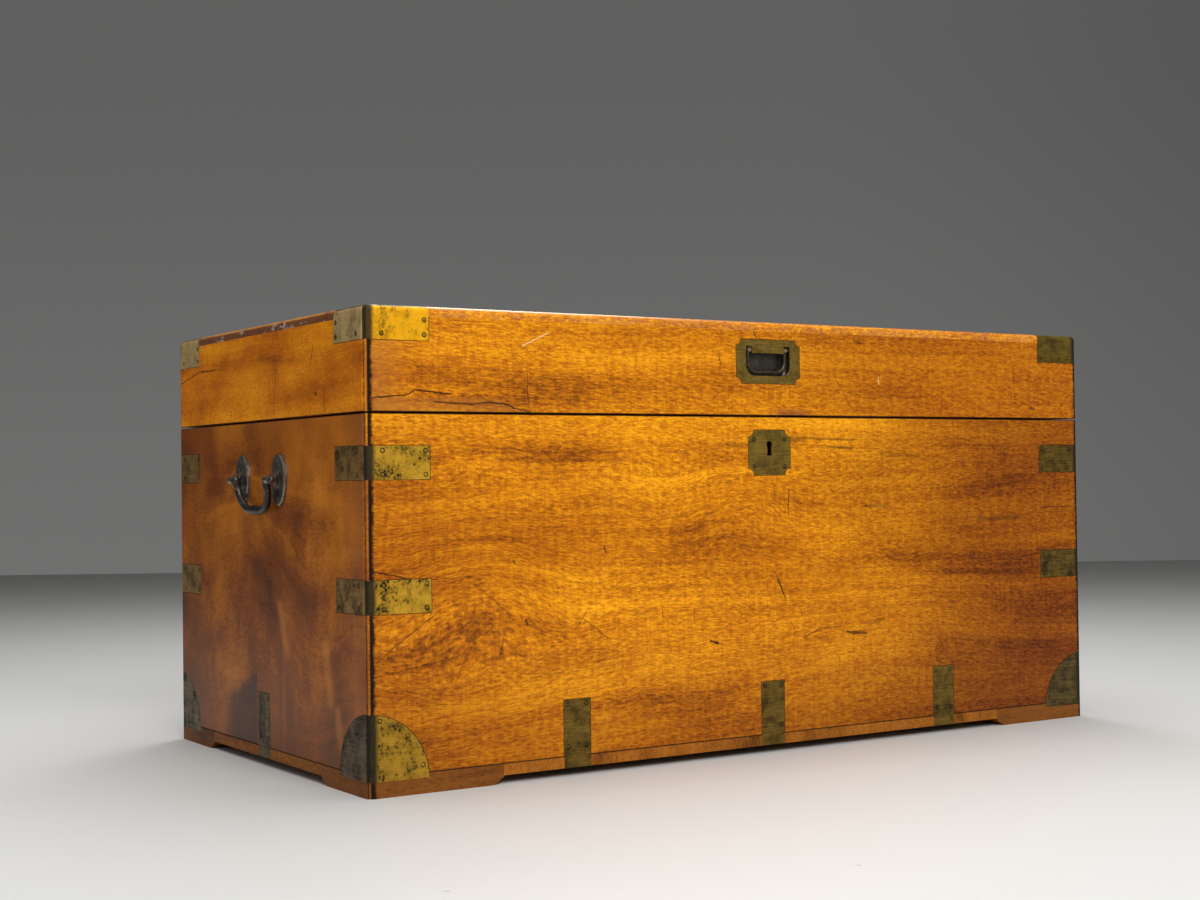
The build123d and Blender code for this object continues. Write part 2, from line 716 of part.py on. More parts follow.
def lid_handle_cup_outline(inset):
    """The cup's outline behind the plate, a little larger than the window."""
    margin = LID_HANDLE_CUP_MARGIN - inset
    low = LID_HANDLE_APERTURE_LOW - margin
    high = LID_HANDLE_EAR_TOP + margin
    size = (LID_HANDLE_APERTURE + 2 * margin, high - low)
    return Pos(0, (low + high) / 2) * RectangleRounded(*size, LID_HANDLE_CUP_CORNER - inset)


def lid_handle_cup():
    """A sheet brass tray behind the window, whose floor is curved."""
    outer = along_y(lid_handle_cup_outline(0), FRONT + BRASS, FRONT + LID_HANDLE_CUP_DEPTH)
    outer = fillet(outer.faces().sort_by(Axis.Y)[-1].edges(), LID_HANDLE_CUP_EDGE)
    sheet = LID_HANDLE_CUP_SHEET
    inner = along_y(lid_handle_cup_outline(sheet), FRONT + BRASS, FRONT + LID_HANDLE_CUP_DEPTH - sheet)
    inner = fillet(inner.faces().sort_by(Axis.Y)[-1].edges(), LID_HANDLE_CUP_EDGE - sheet)
    return outer - inner


def lid_bail_pin_places():
    """Middles of the two eyes of the bail, on X."""
    offset = LID_HANDLE_APERTURE / 2 - LID_HANDLE_EAR / 2
    return (-offset, offset)


def cylinder_along_x(radius, near, far, y, z):
    return along_x(Pos(y, z) * Circle(radius), near, far)


def lid_handle_bail():
    """A round bar bent to a loop, with an eye at the top of each arm."""
    half = LID_BAIL_WIDTH / 2
    pivot_y = FRONT + LID_BAIL_PIVOT_DEPTH
    arm = half - LID_BAIL_RADIUS
    low = LID_BAIL_LOW + LID_BAIL_RADIUS
    top = LID_BAIL_PIVOT_HEIGHT - LID_BAIL_PIN_RADIUS
    path = FilletPolyline((-arm, top), (-arm, low), (arm, low), (arm, top), radius=LID_BAIL_CORNER)
    path = Plane.XZ.offset(-pivot_y) * path
    loop = sweep(Plane(origin=path @ 0, z_dir=path % 0) * Circle(LID_BAIL_RADIUS), path=path)
    eyes = []
    holes = []
    for side in SIDES:
        near, far = sorted((side * (half - LID_BAIL_EYE_LENGTH), side * half))
        eyes.append(cylinder_along_x(LID_BAIL_EYE_RADIUS, near, far, pivot_y, LID_BAIL_PIVOT_HEIGHT))
        holes.append(cylinder_along_x(LID_BAIL_PIN_RADIUS + RUNNING_CLEARANCE, near - OVERSHOOT,
                                      far + OVERSHOOT, pivot_y, LID_BAIL_PIVOT_HEIGHT))
    return loop + eyes - holes


def lid_handle_pivots(cup):
    """Pins from the cup's side walls into the bail's eyes."""
    wall = LID_HANDLE_APERTURE / 2 + LID_HANDLE_CUP_MARGIN - LID_HANDLE_CUP_SHEET
    inner = LID_BAIL_WIDTH / 2 - LID_BAIL_EYE_LENGTH
    pivot_y = FRONT + LID_BAIL_PIVOT_DEPTH
    pins = []
    for side in SIDES:
        near, far = sorted((side * inner, side * wall))
        pin = cylinder_along_x(LID_BAIL_PIN_RADIUS, near, far, pivot_y, LID_BAIL_PIVOT_HEIGHT)
        pins.append(cut(pin, cup))
    return grouped(pins)


def lid_handle_screws():
    """Three screws round the window and three smaller ones below it."""
    screw = scale(countersunk_screw(SCREW_LENGTH), by=LID_HANDLE_SCREW_SIZE)
    small = scale(countersunk_screw(SCREW_LENGTH), by=LID_HANDLE_LOW_SCREW_SIZE)
    places = [(0, FRONT, LID_HANDLE_SCREW_TOP)]
    places += [(side * LID_HANDLE_SCREW_X, FRONT, LID_HANDLE_HEIGHT) for side in SIDES]
    low_places = [(x, FRONT, LID_HANDLE_LOW_SCREW_HEIGHT) for x in LID_HANDLE_LOW_SCREWS]
    outward = (0, -1, 0)
    return grouped([placed(screw, place, outward) for place in places]
                   + [placed(small, place, outward) for place in low_places])


# Drop handle of the left end

def end_lug(middle_y):
    """A three-sided bracket with a window, and a boss at its tip that the bail turns in."""
    root_x = LEFT - END_PLATE_THICKNESS
    tip_x = LEFT - LUG_REACH
    low = END_HANDLE_HEIGHT - LUG_HALF_ROOT
    high = END_HANDLE_HEIGHT + LUG_HALF_ROOT
    boss = LUG_BOSS_RADIUS
    outline = polygon([
        (root_x, low),
        (root_x, high),
        (tip_x, END_HANDLE_HEIGHT + boss),
        (tip_x, END_HANDLE_HEIGHT - boss),
    ])
    wall = LUG_WINDOW_WALL
    window_tip = tip_x + boss + LUG_WINDOW_TIP
    window = polygon([
        (root_x - LUG_WINDOW_ROOT, low + wall),
        (root_x - LUG_WINDOW_ROOT, high - wall),
        (window_tip, END_HANDLE_HEIGHT + LUG_WINDOW_HALF_TIP),
        (window_tip, END_HANDLE_HEIGHT - LUG_WINDOW_HALF_TIP),
    ])
    near = middle_y - LUG_THICKNESS / 2
    far = middle_y + LUG_THICKNESS / 2
    tip = Pos(tip_x, END_HANDLE_HEIGHT) * Circle(boss)
    hole = Pos(tip_x, END_HANDLE_HEIGHT) * Circle(END_PIN_RADIUS + RUNNING_CLEARANCE)
    return along_y(outline + tip - window - hole, near, far)


def end_backplate(end):
    """An oval plate with its lug; end is -1 for the front one and 1 for the back one."""
    middle_y = BODY_Y + end * END_PLATE_SPACING / 2
    width, height = END_PLATE_SIZE
    oval = Pos(middle_y, END_HANDLE_HEIGHT) * Ellipse(width / 2, height / 2)
    plate = along_x(oval, LEFT - END_PLATE_THICKNESS, LEFT)
    rim = plate.faces().sort_by(Axis.X)[0].edges()
    plate = chamfer(rim, END_PLATE_CHAMFER)
    return plate + end_lug(middle_y)


def end_screw_places():
    places = []
    for end in SIDES:
        for offset in (-END_SCREW_SPACING / 2, END_SCREW_SPACING / 2):
            middle_y = BODY_Y + end * END_PLATE_SPACING / 2
            places.append((LEFT - END_PLATE_THICKNESS, middle_y, END_HANDLE_HEIGHT + offset))
    return places


def end_handle_screws():
    screw = countersunk_screw(SCREW_LENGTH)
    left = [placed(screw, place, (-1, 0, 0)) for place in end_screw_places()]
    return grouped(left + [to_right(piece) for piece in left])


def end_bail():
    """A loop of round bar that leans in towards the end board, with pins through the lugs and knobs."""
    pivot_x = LEFT - LUG_REACH
    lug_inner = END_PLATE_SPACING / 2 - LUG_THICKNESS / 2
    lug_outer = END_PLATE_SPACING / 2 + LUG_THICKNESS / 2
    arm = lug_inner - END_BAIL_RADIUS - END_BAIL_SIDE_GAP
    path = FilletPolyline((-arm, 0), (-arm, -END_BAIL_DROP), (arm, -END_BAIL_DROP), (arm, 0),
                          radius=END_BAIL_CORNER)
    path = Plane.YZ * path
    loop = sweep(Plane(origin=path @ 0, z_dir=path % 0) * Circle(END_BAIL_RADIUS), path=path)
    pieces = [loop, end_grip(arm - END_BAIL_CORNER)]
    for end in SIDES:
        pieces.append(Pos(0, end * arm, 0) * Sphere(END_BAIL_RADIUS))
        pin_end = lug_outer + END_BAIL_KNOB_RADIUS
        near, far = sorted((end * arm, end * pin_end))
        pieces.append(along_y(Circle(END_PIN_RADIUS), near, far))
        flat = end * (lug_outer + END_BAIL_KNOB_GAP)
        pieces.append(end_knob(flat, end))
    bail = pieces[0] + pieces[1:]
    return Pos(pivot_x, BODY_Y, END_HANDLE_HEIGHT) * Rot(0, -END_BAIL_LEAN, 0) * bail


def end_knob(flat, end):
    """The part of a ball beyond its flat, which faces the lug."""
    ball = Pos(0, flat + end * END_BAIL_KNOB_RADIUS * END_BAIL_KNOB_SETBACK, 0) * Sphere(END_BAIL_KNOB_RADIUS)
    reach = 3 * END_BAIL_KNOB_RADIUS
    low, high = sorted((flat, flat + end * reach))
    return ball & cuboid((-reach, low, -reach), (reach, high, reach))


def end_grip(half):
    """The swelling of the bail's lower bar, turned about Y."""
    swell = ThreePointArc((-half, END_BAIL_RADIUS), (0, END_BAIL_GRIP_RADIUS), (half, END_BAIL_RADIUS))
    rest = Polyline((half, END_BAIL_RADIUS), (half, 0), (-half, 0), (-half, END_BAIL_RADIUS))
    turned = revolve(Plane.YZ * make_face([swell, rest]), Axis.Y)
    return Pos(0, 0, -END_BAIL_DROP) * turned


# Hinges, drawn at the left hinge's place

def knuckle_spans(first):
    """Spans along X of every second knuckle, from the first or the second."""
    pitch = HINGE_LENGTH / KNUCKLES
    start = -HINGE_X - HINGE_LENGTH / 2
    return [(start + index * pitch + KNUCKLE_GAP / 2, start + (index + 1) * pitch - KNUCKLE_GAP / 2)
            for index in range(first, KNUCKLES, 2)]


def pin_bore(clearance):
    start = -HINGE_X - HINGE_LENGTH / 2
    return cylinder_along_x(HINGE_PIN_RADIUS + clearance, start - OVERSHOOT,
                            start + HINGE_LENGTH + OVERSHOOT, HINGE_AXIS_Y, SEAM_HEIGHT)


def hinge_body_leaf():
    """The leaf let into the body's back edge; its knuckles have a square heel that stops the lid."""
    start = -HINGE_X - HINGE_LENGTH / 2
    leaf = cuboid((start, BACK - HINGE_LEAF_DEPTH, BODY_TOP - HINGE_LEAF),
                  (start + HINGE_LENGTH, BACK, BODY_TOP))
    lean = math.radians(HINGE_STOP_ANGLE - 90)
    heel_top = (KNUCKLE_RADIUS - KNUCKLE_RADIUS * math.sin(lean)) / math.cos(lean)
    knuckles = []
    for near, far in knuckle_spans(0):
        knuckles.append(cylinder_along_x(KNUCKLE_RADIUS, near, far, HINGE_AXIS_Y, SEAM_HEIGHT))
        knuckles.append(cuboid((near, HINGE_AXIS_Y, SEAM_HEIGHT - KNUCKLE_RADIUS),
                               (far, HINGE_AXIS_Y + KNUCKLE_RADIUS, SEAM_HEIGHT + heel_top)))
        knuckles.append(cuboid((near, BACK - OVERSHOOT, BODY_TOP - HINGE_LEAF),
                               (far, HINGE_AXIS_Y, BODY_TOP)))
    return leaf + knuckles - pin_bore(0)


def hinge_lid_leaf():
    """The leaf let into the lid's back edge, with a flange up the lid's back."""
    start = -HINGE_X - HINGE_LENGTH / 2
    leaf = cuboid((start, BACK - HINGE_LEAF_DEPTH, LID_BOTTOM),
                  (start + HINGE_LENGTH, BACK, LID_BOTTOM + HINGE_LEAF))
    flange = cuboid((start, BACK - HINGE_LEAF, LID_BOTTOM),
                    (start + HINGE_LENGTH, BACK, LID_BOTTOM + HINGE_FLANGE))
    knuckles = []
    for near, far in knuckle_spans(1):
        knuckles.append(cylinder_along_x(KNUCKLE_RADIUS, near, far, HINGE_AXIS_Y, SEAM_HEIGHT))
        knuckles.append(cuboid((near, BACK - OVERSHOOT, LID_BOTTOM),
                               (far, HINGE_AXIS_Y, LID_BOTTOM + HINGE_LEAF)))
    return leaf + flange + knuckles - pin_bore(RUNNING_CLEARANCE)


def hinge_pin():
    start = -HINGE_X - HINGE_LENGTH / 2
    return cylinder_along_x(HINGE_PIN_RADIUS, start, start + HINGE_LENGTH, HINGE_AXIS_Y, SEAM_HEIGHT)


def hinge_pocket(side, low):
    """The shallow pocket in the wood that one leaf lies in."""
    middle = side * HINGE_X
    return cuboid((middle - HINGE_LENGTH / 2, BACK - HINGE_LEAF_DEPTH, low),
                  (middle + HINGE_LENGTH / 2, BACK, low + HINGE_LEAF))


def flange_pocket(side):
    middle = side * HINGE_X
    return cuboid((middle - HINGE_LENGTH / 2, BACK - HINGE_LEAF, LID_BOTTOM),
                  (middle + HINGE_LENGTH / 2, BACK, LID_BOTTOM + HINGE_FLANGE))


def leaf_screws(height, outward):
    """Countersunk screws of both hinges' leaves at one height."""
    screw = countersunk_screw(SCREW_LENGTH)
    y = BACK - HINGE_SCREW_INSET
    return [placed(screw, (side * HINGE_X + x, y, height), outward)
            for side in SIDES for x in HINGE_SCREWS]


def body_screws():
    """Screws of the hinges' body leaves and of the lock plate."""
    screw = countersunk_screw(LOCK_SCREW_LENGTH)
    x = (LOCK_PLATE_WIDTH + LOCK_CASE_WIDTH) / 4
    lock = [placed(screw, (side * x, FRONT + BOARD, height), (0, 1, 0))
            for side in SIDES for height in LOCK_SCREW_HEIGHTS]
    return grouped(leaf_screws(BODY_TOP, (0, 0, 1)) + lock)


def lid_screws():
    """Screws of the hinges' lid leaves and of the link plate."""
    screw = countersunk_screw(SCREW_LENGTH)
    link = [placed(screw, (x, staple_depth(), LID_BOTTOM), (0, 0, -1)) for x in LINK_SCREWS]
    return grouped(leaf_screws(LID_BOTTOM, (0, 0, -1)) + link)


# Assembly

def body_nodes():
    nodes = {}
    front, back, left, right = board_ring(BASE_TOP, BODY_TOP, BODY_TAILS)
    skin = body_skin()
    upper = corner_straps(skin, UPPER_STRAP_LOW)
    middle = corner_straps(skin, MIDDLE_STRAP_LOW)
    plate = lower_corner_plate(skin)
    plates = {
        "front_left": plate,
        "front_right": to_right(plate),
        "back_left": to_back(plate),
        "back_right": to_back(to_right(plate)),
    }
    front_straps = [front_base_strap(x) for x in (-BASE_STRAP_SPACING, 0, BASE_STRAP_SPACING)]
    left_strap = left_base_strap()
    straps = grouped(front_straps + [to_back(strap) for strap in front_straps])
    end_straps = grouped([left_strap, to_right(left_strap)])
    nails = body_nails()
    pins = escutcheon_pins()
    screws = body_screws()
    end_screws = end_handle_screws()
    wood_nails = base_nails()
    wood_screws = foot_screws()
    recess = escutcheon_blank()
    escutcheon = recess - keyhole(0, BRASS)
    case = lock_case()
    plate_and_selvedge = lock_plate()
    leaf = hinge_body_leaf()
    leaves = [leaf, to_right(leaf)]
    leaf_pockets = [hinge_pocket(-1, BODY_TOP - HINGE_LEAF), hinge_pocket(1, BODY_TOP - HINGE_LEAF)]

    bands = upper + middle + list(plates.values()) + [straps, end_straps]
    fixings = [nails, pins, screws, end_screws, wood_nails, wood_screws]
    lock_recess = [recess, keyhole(0, BOARD), lock_case_block(), plate_and_selvedge]
    nodes["front_board"] = cut(front, *bands, *fixings, *lock_recess, *staple_slots(*STAPLE_POCKET))
    nodes["back_board"] = cut(back, *bands, *fixings, *leaf_pockets)
    nodes["left_board"] = cut(left, *bands, *fixings)
    nodes["right_board"] = cut(right, *bands, *fixings)

    one_foot = foot()
    feet = {
        "foot_front_left": one_foot,
        "foot_front_right": to_right(one_foot),
        "foot_back_left": to_back(one_foot),
        "foot_back_right": to_back(to_right(one_foot)),
    }
    for index, name in enumerate(("left", "middle", "right")):
        board = cut(base_board(index), *bands, *fixings, *feet.values())
        nodes[f"base_board_{name}"] = board
    for name, piece in feet.items():
        nodes[name] = cut(piece, *bands, *fixings)

    nodes["upper_corner_straps"] = grouped([cut(strap, nails) for strap in upper])
    nodes["middle_corner_straps"] = grouped([cut(strap, nails) for strap in middle])
    for name, piece in plates.items():
        nodes[f"lower_corner_plate_{name}"] = cut(piece, nails)
    nodes["base_straps"] = grouped([cut(strap, nails, wood_nails) for strap in straps.solids()])
    nodes["end_base_straps"] = grouped([cut(strap, nails, wood_nails) for strap in end_straps.solids()])
    nodes["body_brass_nails"] = nails
    nodes["escutcheon"] = cut(escutcheon, pins)
    nodes["escutcheon_pins"] = pins
    nodes["lock_case"] = case
    nodes["lock_plate"] = cut(plate_and_selvedge, screws)
    nodes["lock_bolt"] = lock_bolt()
    nodes["lock_bolt_spring"] = lock_bolt_spring()
    nodes["lock_key_pin"] = lock_key_pin()
    nodes["lock_ward"] = lock_ward()
    nodes["body_screws"] = screws
    nodes["base_nails"] = wood_nails
    nodes["foot_screws"] = wood_screws
    for name, piece in zip(("left", "right"), leaves):
        nodes[f"{name}_hinge_body_leaf"] = cut(piece, screws)
    pin = hinge_pin()
    nodes["hinge_pins"] = grouped([pin, to_right(pin)])
    nodes["end_handle_screws"] = end_screws
    for name, end in (("front", -1), ("back", 1)):
        backplate = cut(end_backplate(end), end_screws)
        nodes[f"left_handle_{name}_plate"] = backplate
        nodes[f"right_handle_{name}_plate"] = to_right(backplate)
    bail = end_bail()
    nodes["left_handle_bail"] = bail
    nodes["right_handle_bail"] = to_right(bail)
    return nodes


def lid_nodes():
    nodes = {}
    block = lid_block()
    skin = block - lid_block(BRASS)
    front, back, left, right = board_ring(LID_BOTTOM, LID_RIM_TOP, LID_TAILS)
    lip = cuboid((LEFT, FRONT, LID_RIM_TOP), (RIGHT, BACK, HEIGHT))
    panel = cuboid((LEFT + BOARD, FRONT + BOARD, HEIGHT - LID_TOP_BOARD),
                   (RIGHT - BOARD, BACK - BOARD, LID_RIM_TOP))
    top = (lip + panel) & block
    corners = {}
    for end_name, end in (("front", -1), ("back", 1)):
        for side_name, side in (("left", -1), ("right", 1)):
            disc = Pos(side * WIDTH / 2, BODY_Y + end * DEPTH / 2) * Circle(STRAP_WING)
            column = along_z(disc, LID_CORNER_LOW, HEIGHT)
            corners[f"lid_corner_{end_name}_{side_name}"] = skin & column
    nails = lid_nails()
    screws = lid_screws()
    handle_screws = lid_handle_screws()
    plate = lid_handle_plate()
    cup = lid_handle_cup()
    cup_pocket = along_y(lid_handle_cup_outline(0), FRONT, FRONT + LID_HANDLE_CUP_DEPTH)
    link = link_plate()
    leaf = hinge_lid_leaf()
    pockets = [hinge_pocket(side, LID_BOTTOM) for side in SIDES] + [flange_pocket(side) for side in SIDES]

    brass = list(corners.values())
    handle_recess = [lid_handle_blank(), cup_pocket, handle_screws]
    nodes["lid_front_board"] = cut(front, *brass, nails, screws, link, *handle_recess)
    nodes["lid_back_board"] = cut(back, *brass, nails, screws, *pockets)
    nodes["lid_left_board"] = cut(left, *brass, nails)
    nodes["lid_right_board"] = cut(right, *brass, nails)
    nodes["lid_top_board"] = cut(top, *brass, nails)
    for name, piece in corners.items():
        nodes[name] = cut(piece, nails)
    nodes["lid_brass_nails"] = nails
    nodes["lid_handle_plate"] = cut(plate, handle_screws)
    nodes["lid_handle_cup"] = cut(cup, handle_screws)
    nodes["lid_handle_pivots"] = lid_handle_pivots(cup)
    nodes["lid_handle_screws"] = handle_screws
    nodes["lid_handle_bail"] = lid_handle_bail()
    nodes["left_hinge_lid_leaf"] = cut(leaf, screws)
    nodes["right_hinge_lid_leaf"] = cut(to_right(leaf), screws)
    nodes["link_plate"] = cut(link, screws)
    nodes["lid_screws"] = screws
    return nodes


def main():
    os.makedirs("parts", exist_ok=True)
    nodes = body_nodes()
    nodes.update(lid_nodes())
    for name, piece in nodes.items():
        solids = piece.solids()
        export_step(solids[0] if len(solids) == 1 else Compound(children=solids), f"parts/{name}.step")
        print(f"{name}: {len(solids)} solids")
    print(f"{len(nodes)} nodes")


main()
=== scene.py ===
"""Dresses the camphor wood trunk: figured wood, aged inlaid brass, dark bronze handles, stage and camera."""

import logging
import math
from dataclasses import dataclass
from enum import Enum
from typing import Any, Callable, Iterable, Optional, Sequence, Union

import bmesh
import bpy
from mathutils import Matrix, Vector, noise


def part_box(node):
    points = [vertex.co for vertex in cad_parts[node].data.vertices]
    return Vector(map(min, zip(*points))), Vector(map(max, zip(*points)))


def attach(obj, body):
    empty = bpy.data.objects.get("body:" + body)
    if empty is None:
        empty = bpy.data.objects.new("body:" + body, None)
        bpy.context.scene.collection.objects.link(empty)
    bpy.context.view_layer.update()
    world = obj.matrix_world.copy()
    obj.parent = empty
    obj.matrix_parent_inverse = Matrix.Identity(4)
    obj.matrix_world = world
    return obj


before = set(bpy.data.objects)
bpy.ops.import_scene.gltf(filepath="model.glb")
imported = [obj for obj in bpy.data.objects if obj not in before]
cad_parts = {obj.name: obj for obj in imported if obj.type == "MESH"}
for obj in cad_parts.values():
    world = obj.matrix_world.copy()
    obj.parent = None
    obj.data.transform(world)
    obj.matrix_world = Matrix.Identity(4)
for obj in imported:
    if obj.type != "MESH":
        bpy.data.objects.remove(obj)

logging.basicConfig(level=logging.INFO, format="%(message)s")
LOG = logging.getLogger("trunk")

Colour = tuple[float, float, float]
Point = tuple[float, float, float]
Socket = bpy.types.NodeSocket
Value = Union["Signal", float]
Place = tuple["Signal", "Signal", "Signal"]
ColourValue = Union[Socket, Colour]

PHOTO_WIDTH = 1200
MM = 0.001
BACK_COLOURS = ((0.62, 0.24, 0.014), (0.36, 0.11, 0.006), (0.10, 0.024, 0.003))

# The lid's seam, the inlaid brass at the upright edges, and the keyhole
SEAM_GAP = 2.0 * MM
STRAP_WING = 72.0 * MM
STRAP_HALF_HEIGHT = 17.0 * MM
STRAP_LOWS = (316.5 * MM, 182.0 * MM)
LOWER_PLATE_LOW = 16.0 * MM
LOWER_PLATE_RADIUS = 67.0 * MM
KEYHOLE_HEIGHT = 347.0 * MM


class Axis(Enum):
    """A row axis, by its place in a vector."""

    X = 0
    Y = 1
    Z = 2


class Grain(Enum):
    """Which way a board's grain runs: along, across its face, and through its thickness."""

    LONG_UPRIGHT = (Axis.X, Axis.Z, Axis.Y)
    END_UPRIGHT = (Axis.Y, Axis.Z, Axis.X)
    LONG_FLAT = (Axis.X, Axis.Y, Axis.Z)
    END_FLAT = (Axis.Y, Axis.X, Axis.Z)


@dataclass(frozen=True)
class TrunkSizes:
    """Places of the body, read from the frame, in metres.

    Args:
        low: Its near lower front corner, on the floor.
        half_width: Half its width.
        half_depth: Half its depth.
        middle: Where the middle of its depth is.
        joint: Height of the joint between the base and the boards.
        seam: Height of the lid's seam.
    """

    low: Vector
    half_width: float
    half_depth: float
    middle: float
    joint: float
    seam: float

    @classmethod
    def read(cls) -> "TrunkSizes":
        """Read the places from the body's CAD nodes."""
        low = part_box("base_board_left")[0]
        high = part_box("base_board_right")[1]
        board_low, board_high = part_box("front_board")
        middle = (low.y + high.y) / 2
        return cls(Vector((low.x, low.y, 0.0)), high.x, high.y - middle, middle, board_low.z,
                   board_high.z + SEAM_GAP / 2)


TRUNK = TrunkSizes.read()


# Shader building

def operator(operation: str, other_first: bool = False) -> Callable[["Signal", Value], "Signal"]:
    """Make one of a signal's operators.

    Args:
        operation: The Math node's operation.
        other_first: Whether the other value comes first.

    Returns:
        The operator, as a method.
    """
    def apply(self: "Signal", other: Value) -> "Signal":
        """Add the Math node."""
        return self._math(operation, *((other, self) if other_first else (self, other)))

    return apply


class Signal:
    """A number on a shader socket, with Python's arithmetic."""

    __add__ = operator("ADD")
    __radd__ = operator("ADD", other_first=True)
    __sub__ = operator("SUBTRACT")
    __rsub__ = operator("SUBTRACT", other_first=True)
    __mul__ = operator("MULTIPLY")
    __pow__ = operator("POWER")
    most = operator("MAXIMUM")
    least = operator("MINIMUM")

    def __init__(self, graph: "Graph", socket: Socket) -> None:
        """Wrap a socket of a graph."""
        self.graph = graph
        self.socket = socket

    def _math(self, operation: str, *values: Value) -> "Signal":
        """Add a Math node on the values."""
        node = self.graph.node("ShaderNodeMath", {"operation": operation}, dict(enumerate(values)))
        return Signal(self.graph, node.outputs[0])

    def __abs__(self) -> "Signal":
        """Drop the sign."""
        return self._math("ABSOLUTE", self)

    def step(self, start: float, end: float) -> "Signal":
        """Rise smoothly from 0 at start to 1 at end.

        Args:
            start: Value that gives 0.
            end: Value that gives 1; it may be less than start.

        Returns:
            The smooth step.
        """
        settings = {"interpolation_type": "SMOOTHSTEP"}
        if end < start:
            return 1.0 - self.step(end, start)
        node = self.graph.node("ShaderNodeMapRange", settings, {0: self, 1: start, 2: end, 3: 0.0, 4: 1.0})
        return Signal(self.graph, node.outputs[0])


def upright_edge(x: Signal, y: Signal, start: float, end: float) -> Signal:
    """Measure how far a point of the front or back is from the nearest upright edge.

    Args:
        x: The point's x.
        y: The point's y.
        start: Distance off the face at which the measure starts to rise.
        end: Distance off the face at which it has risen out of reach.

    Returns:
        The distance, in metres.
    """
    off_face = abs(abs(y - TRUNK.middle) - TRUNK.half_depth).step(start, end)
    return TRUNK.half_width - abs(x) + off_face


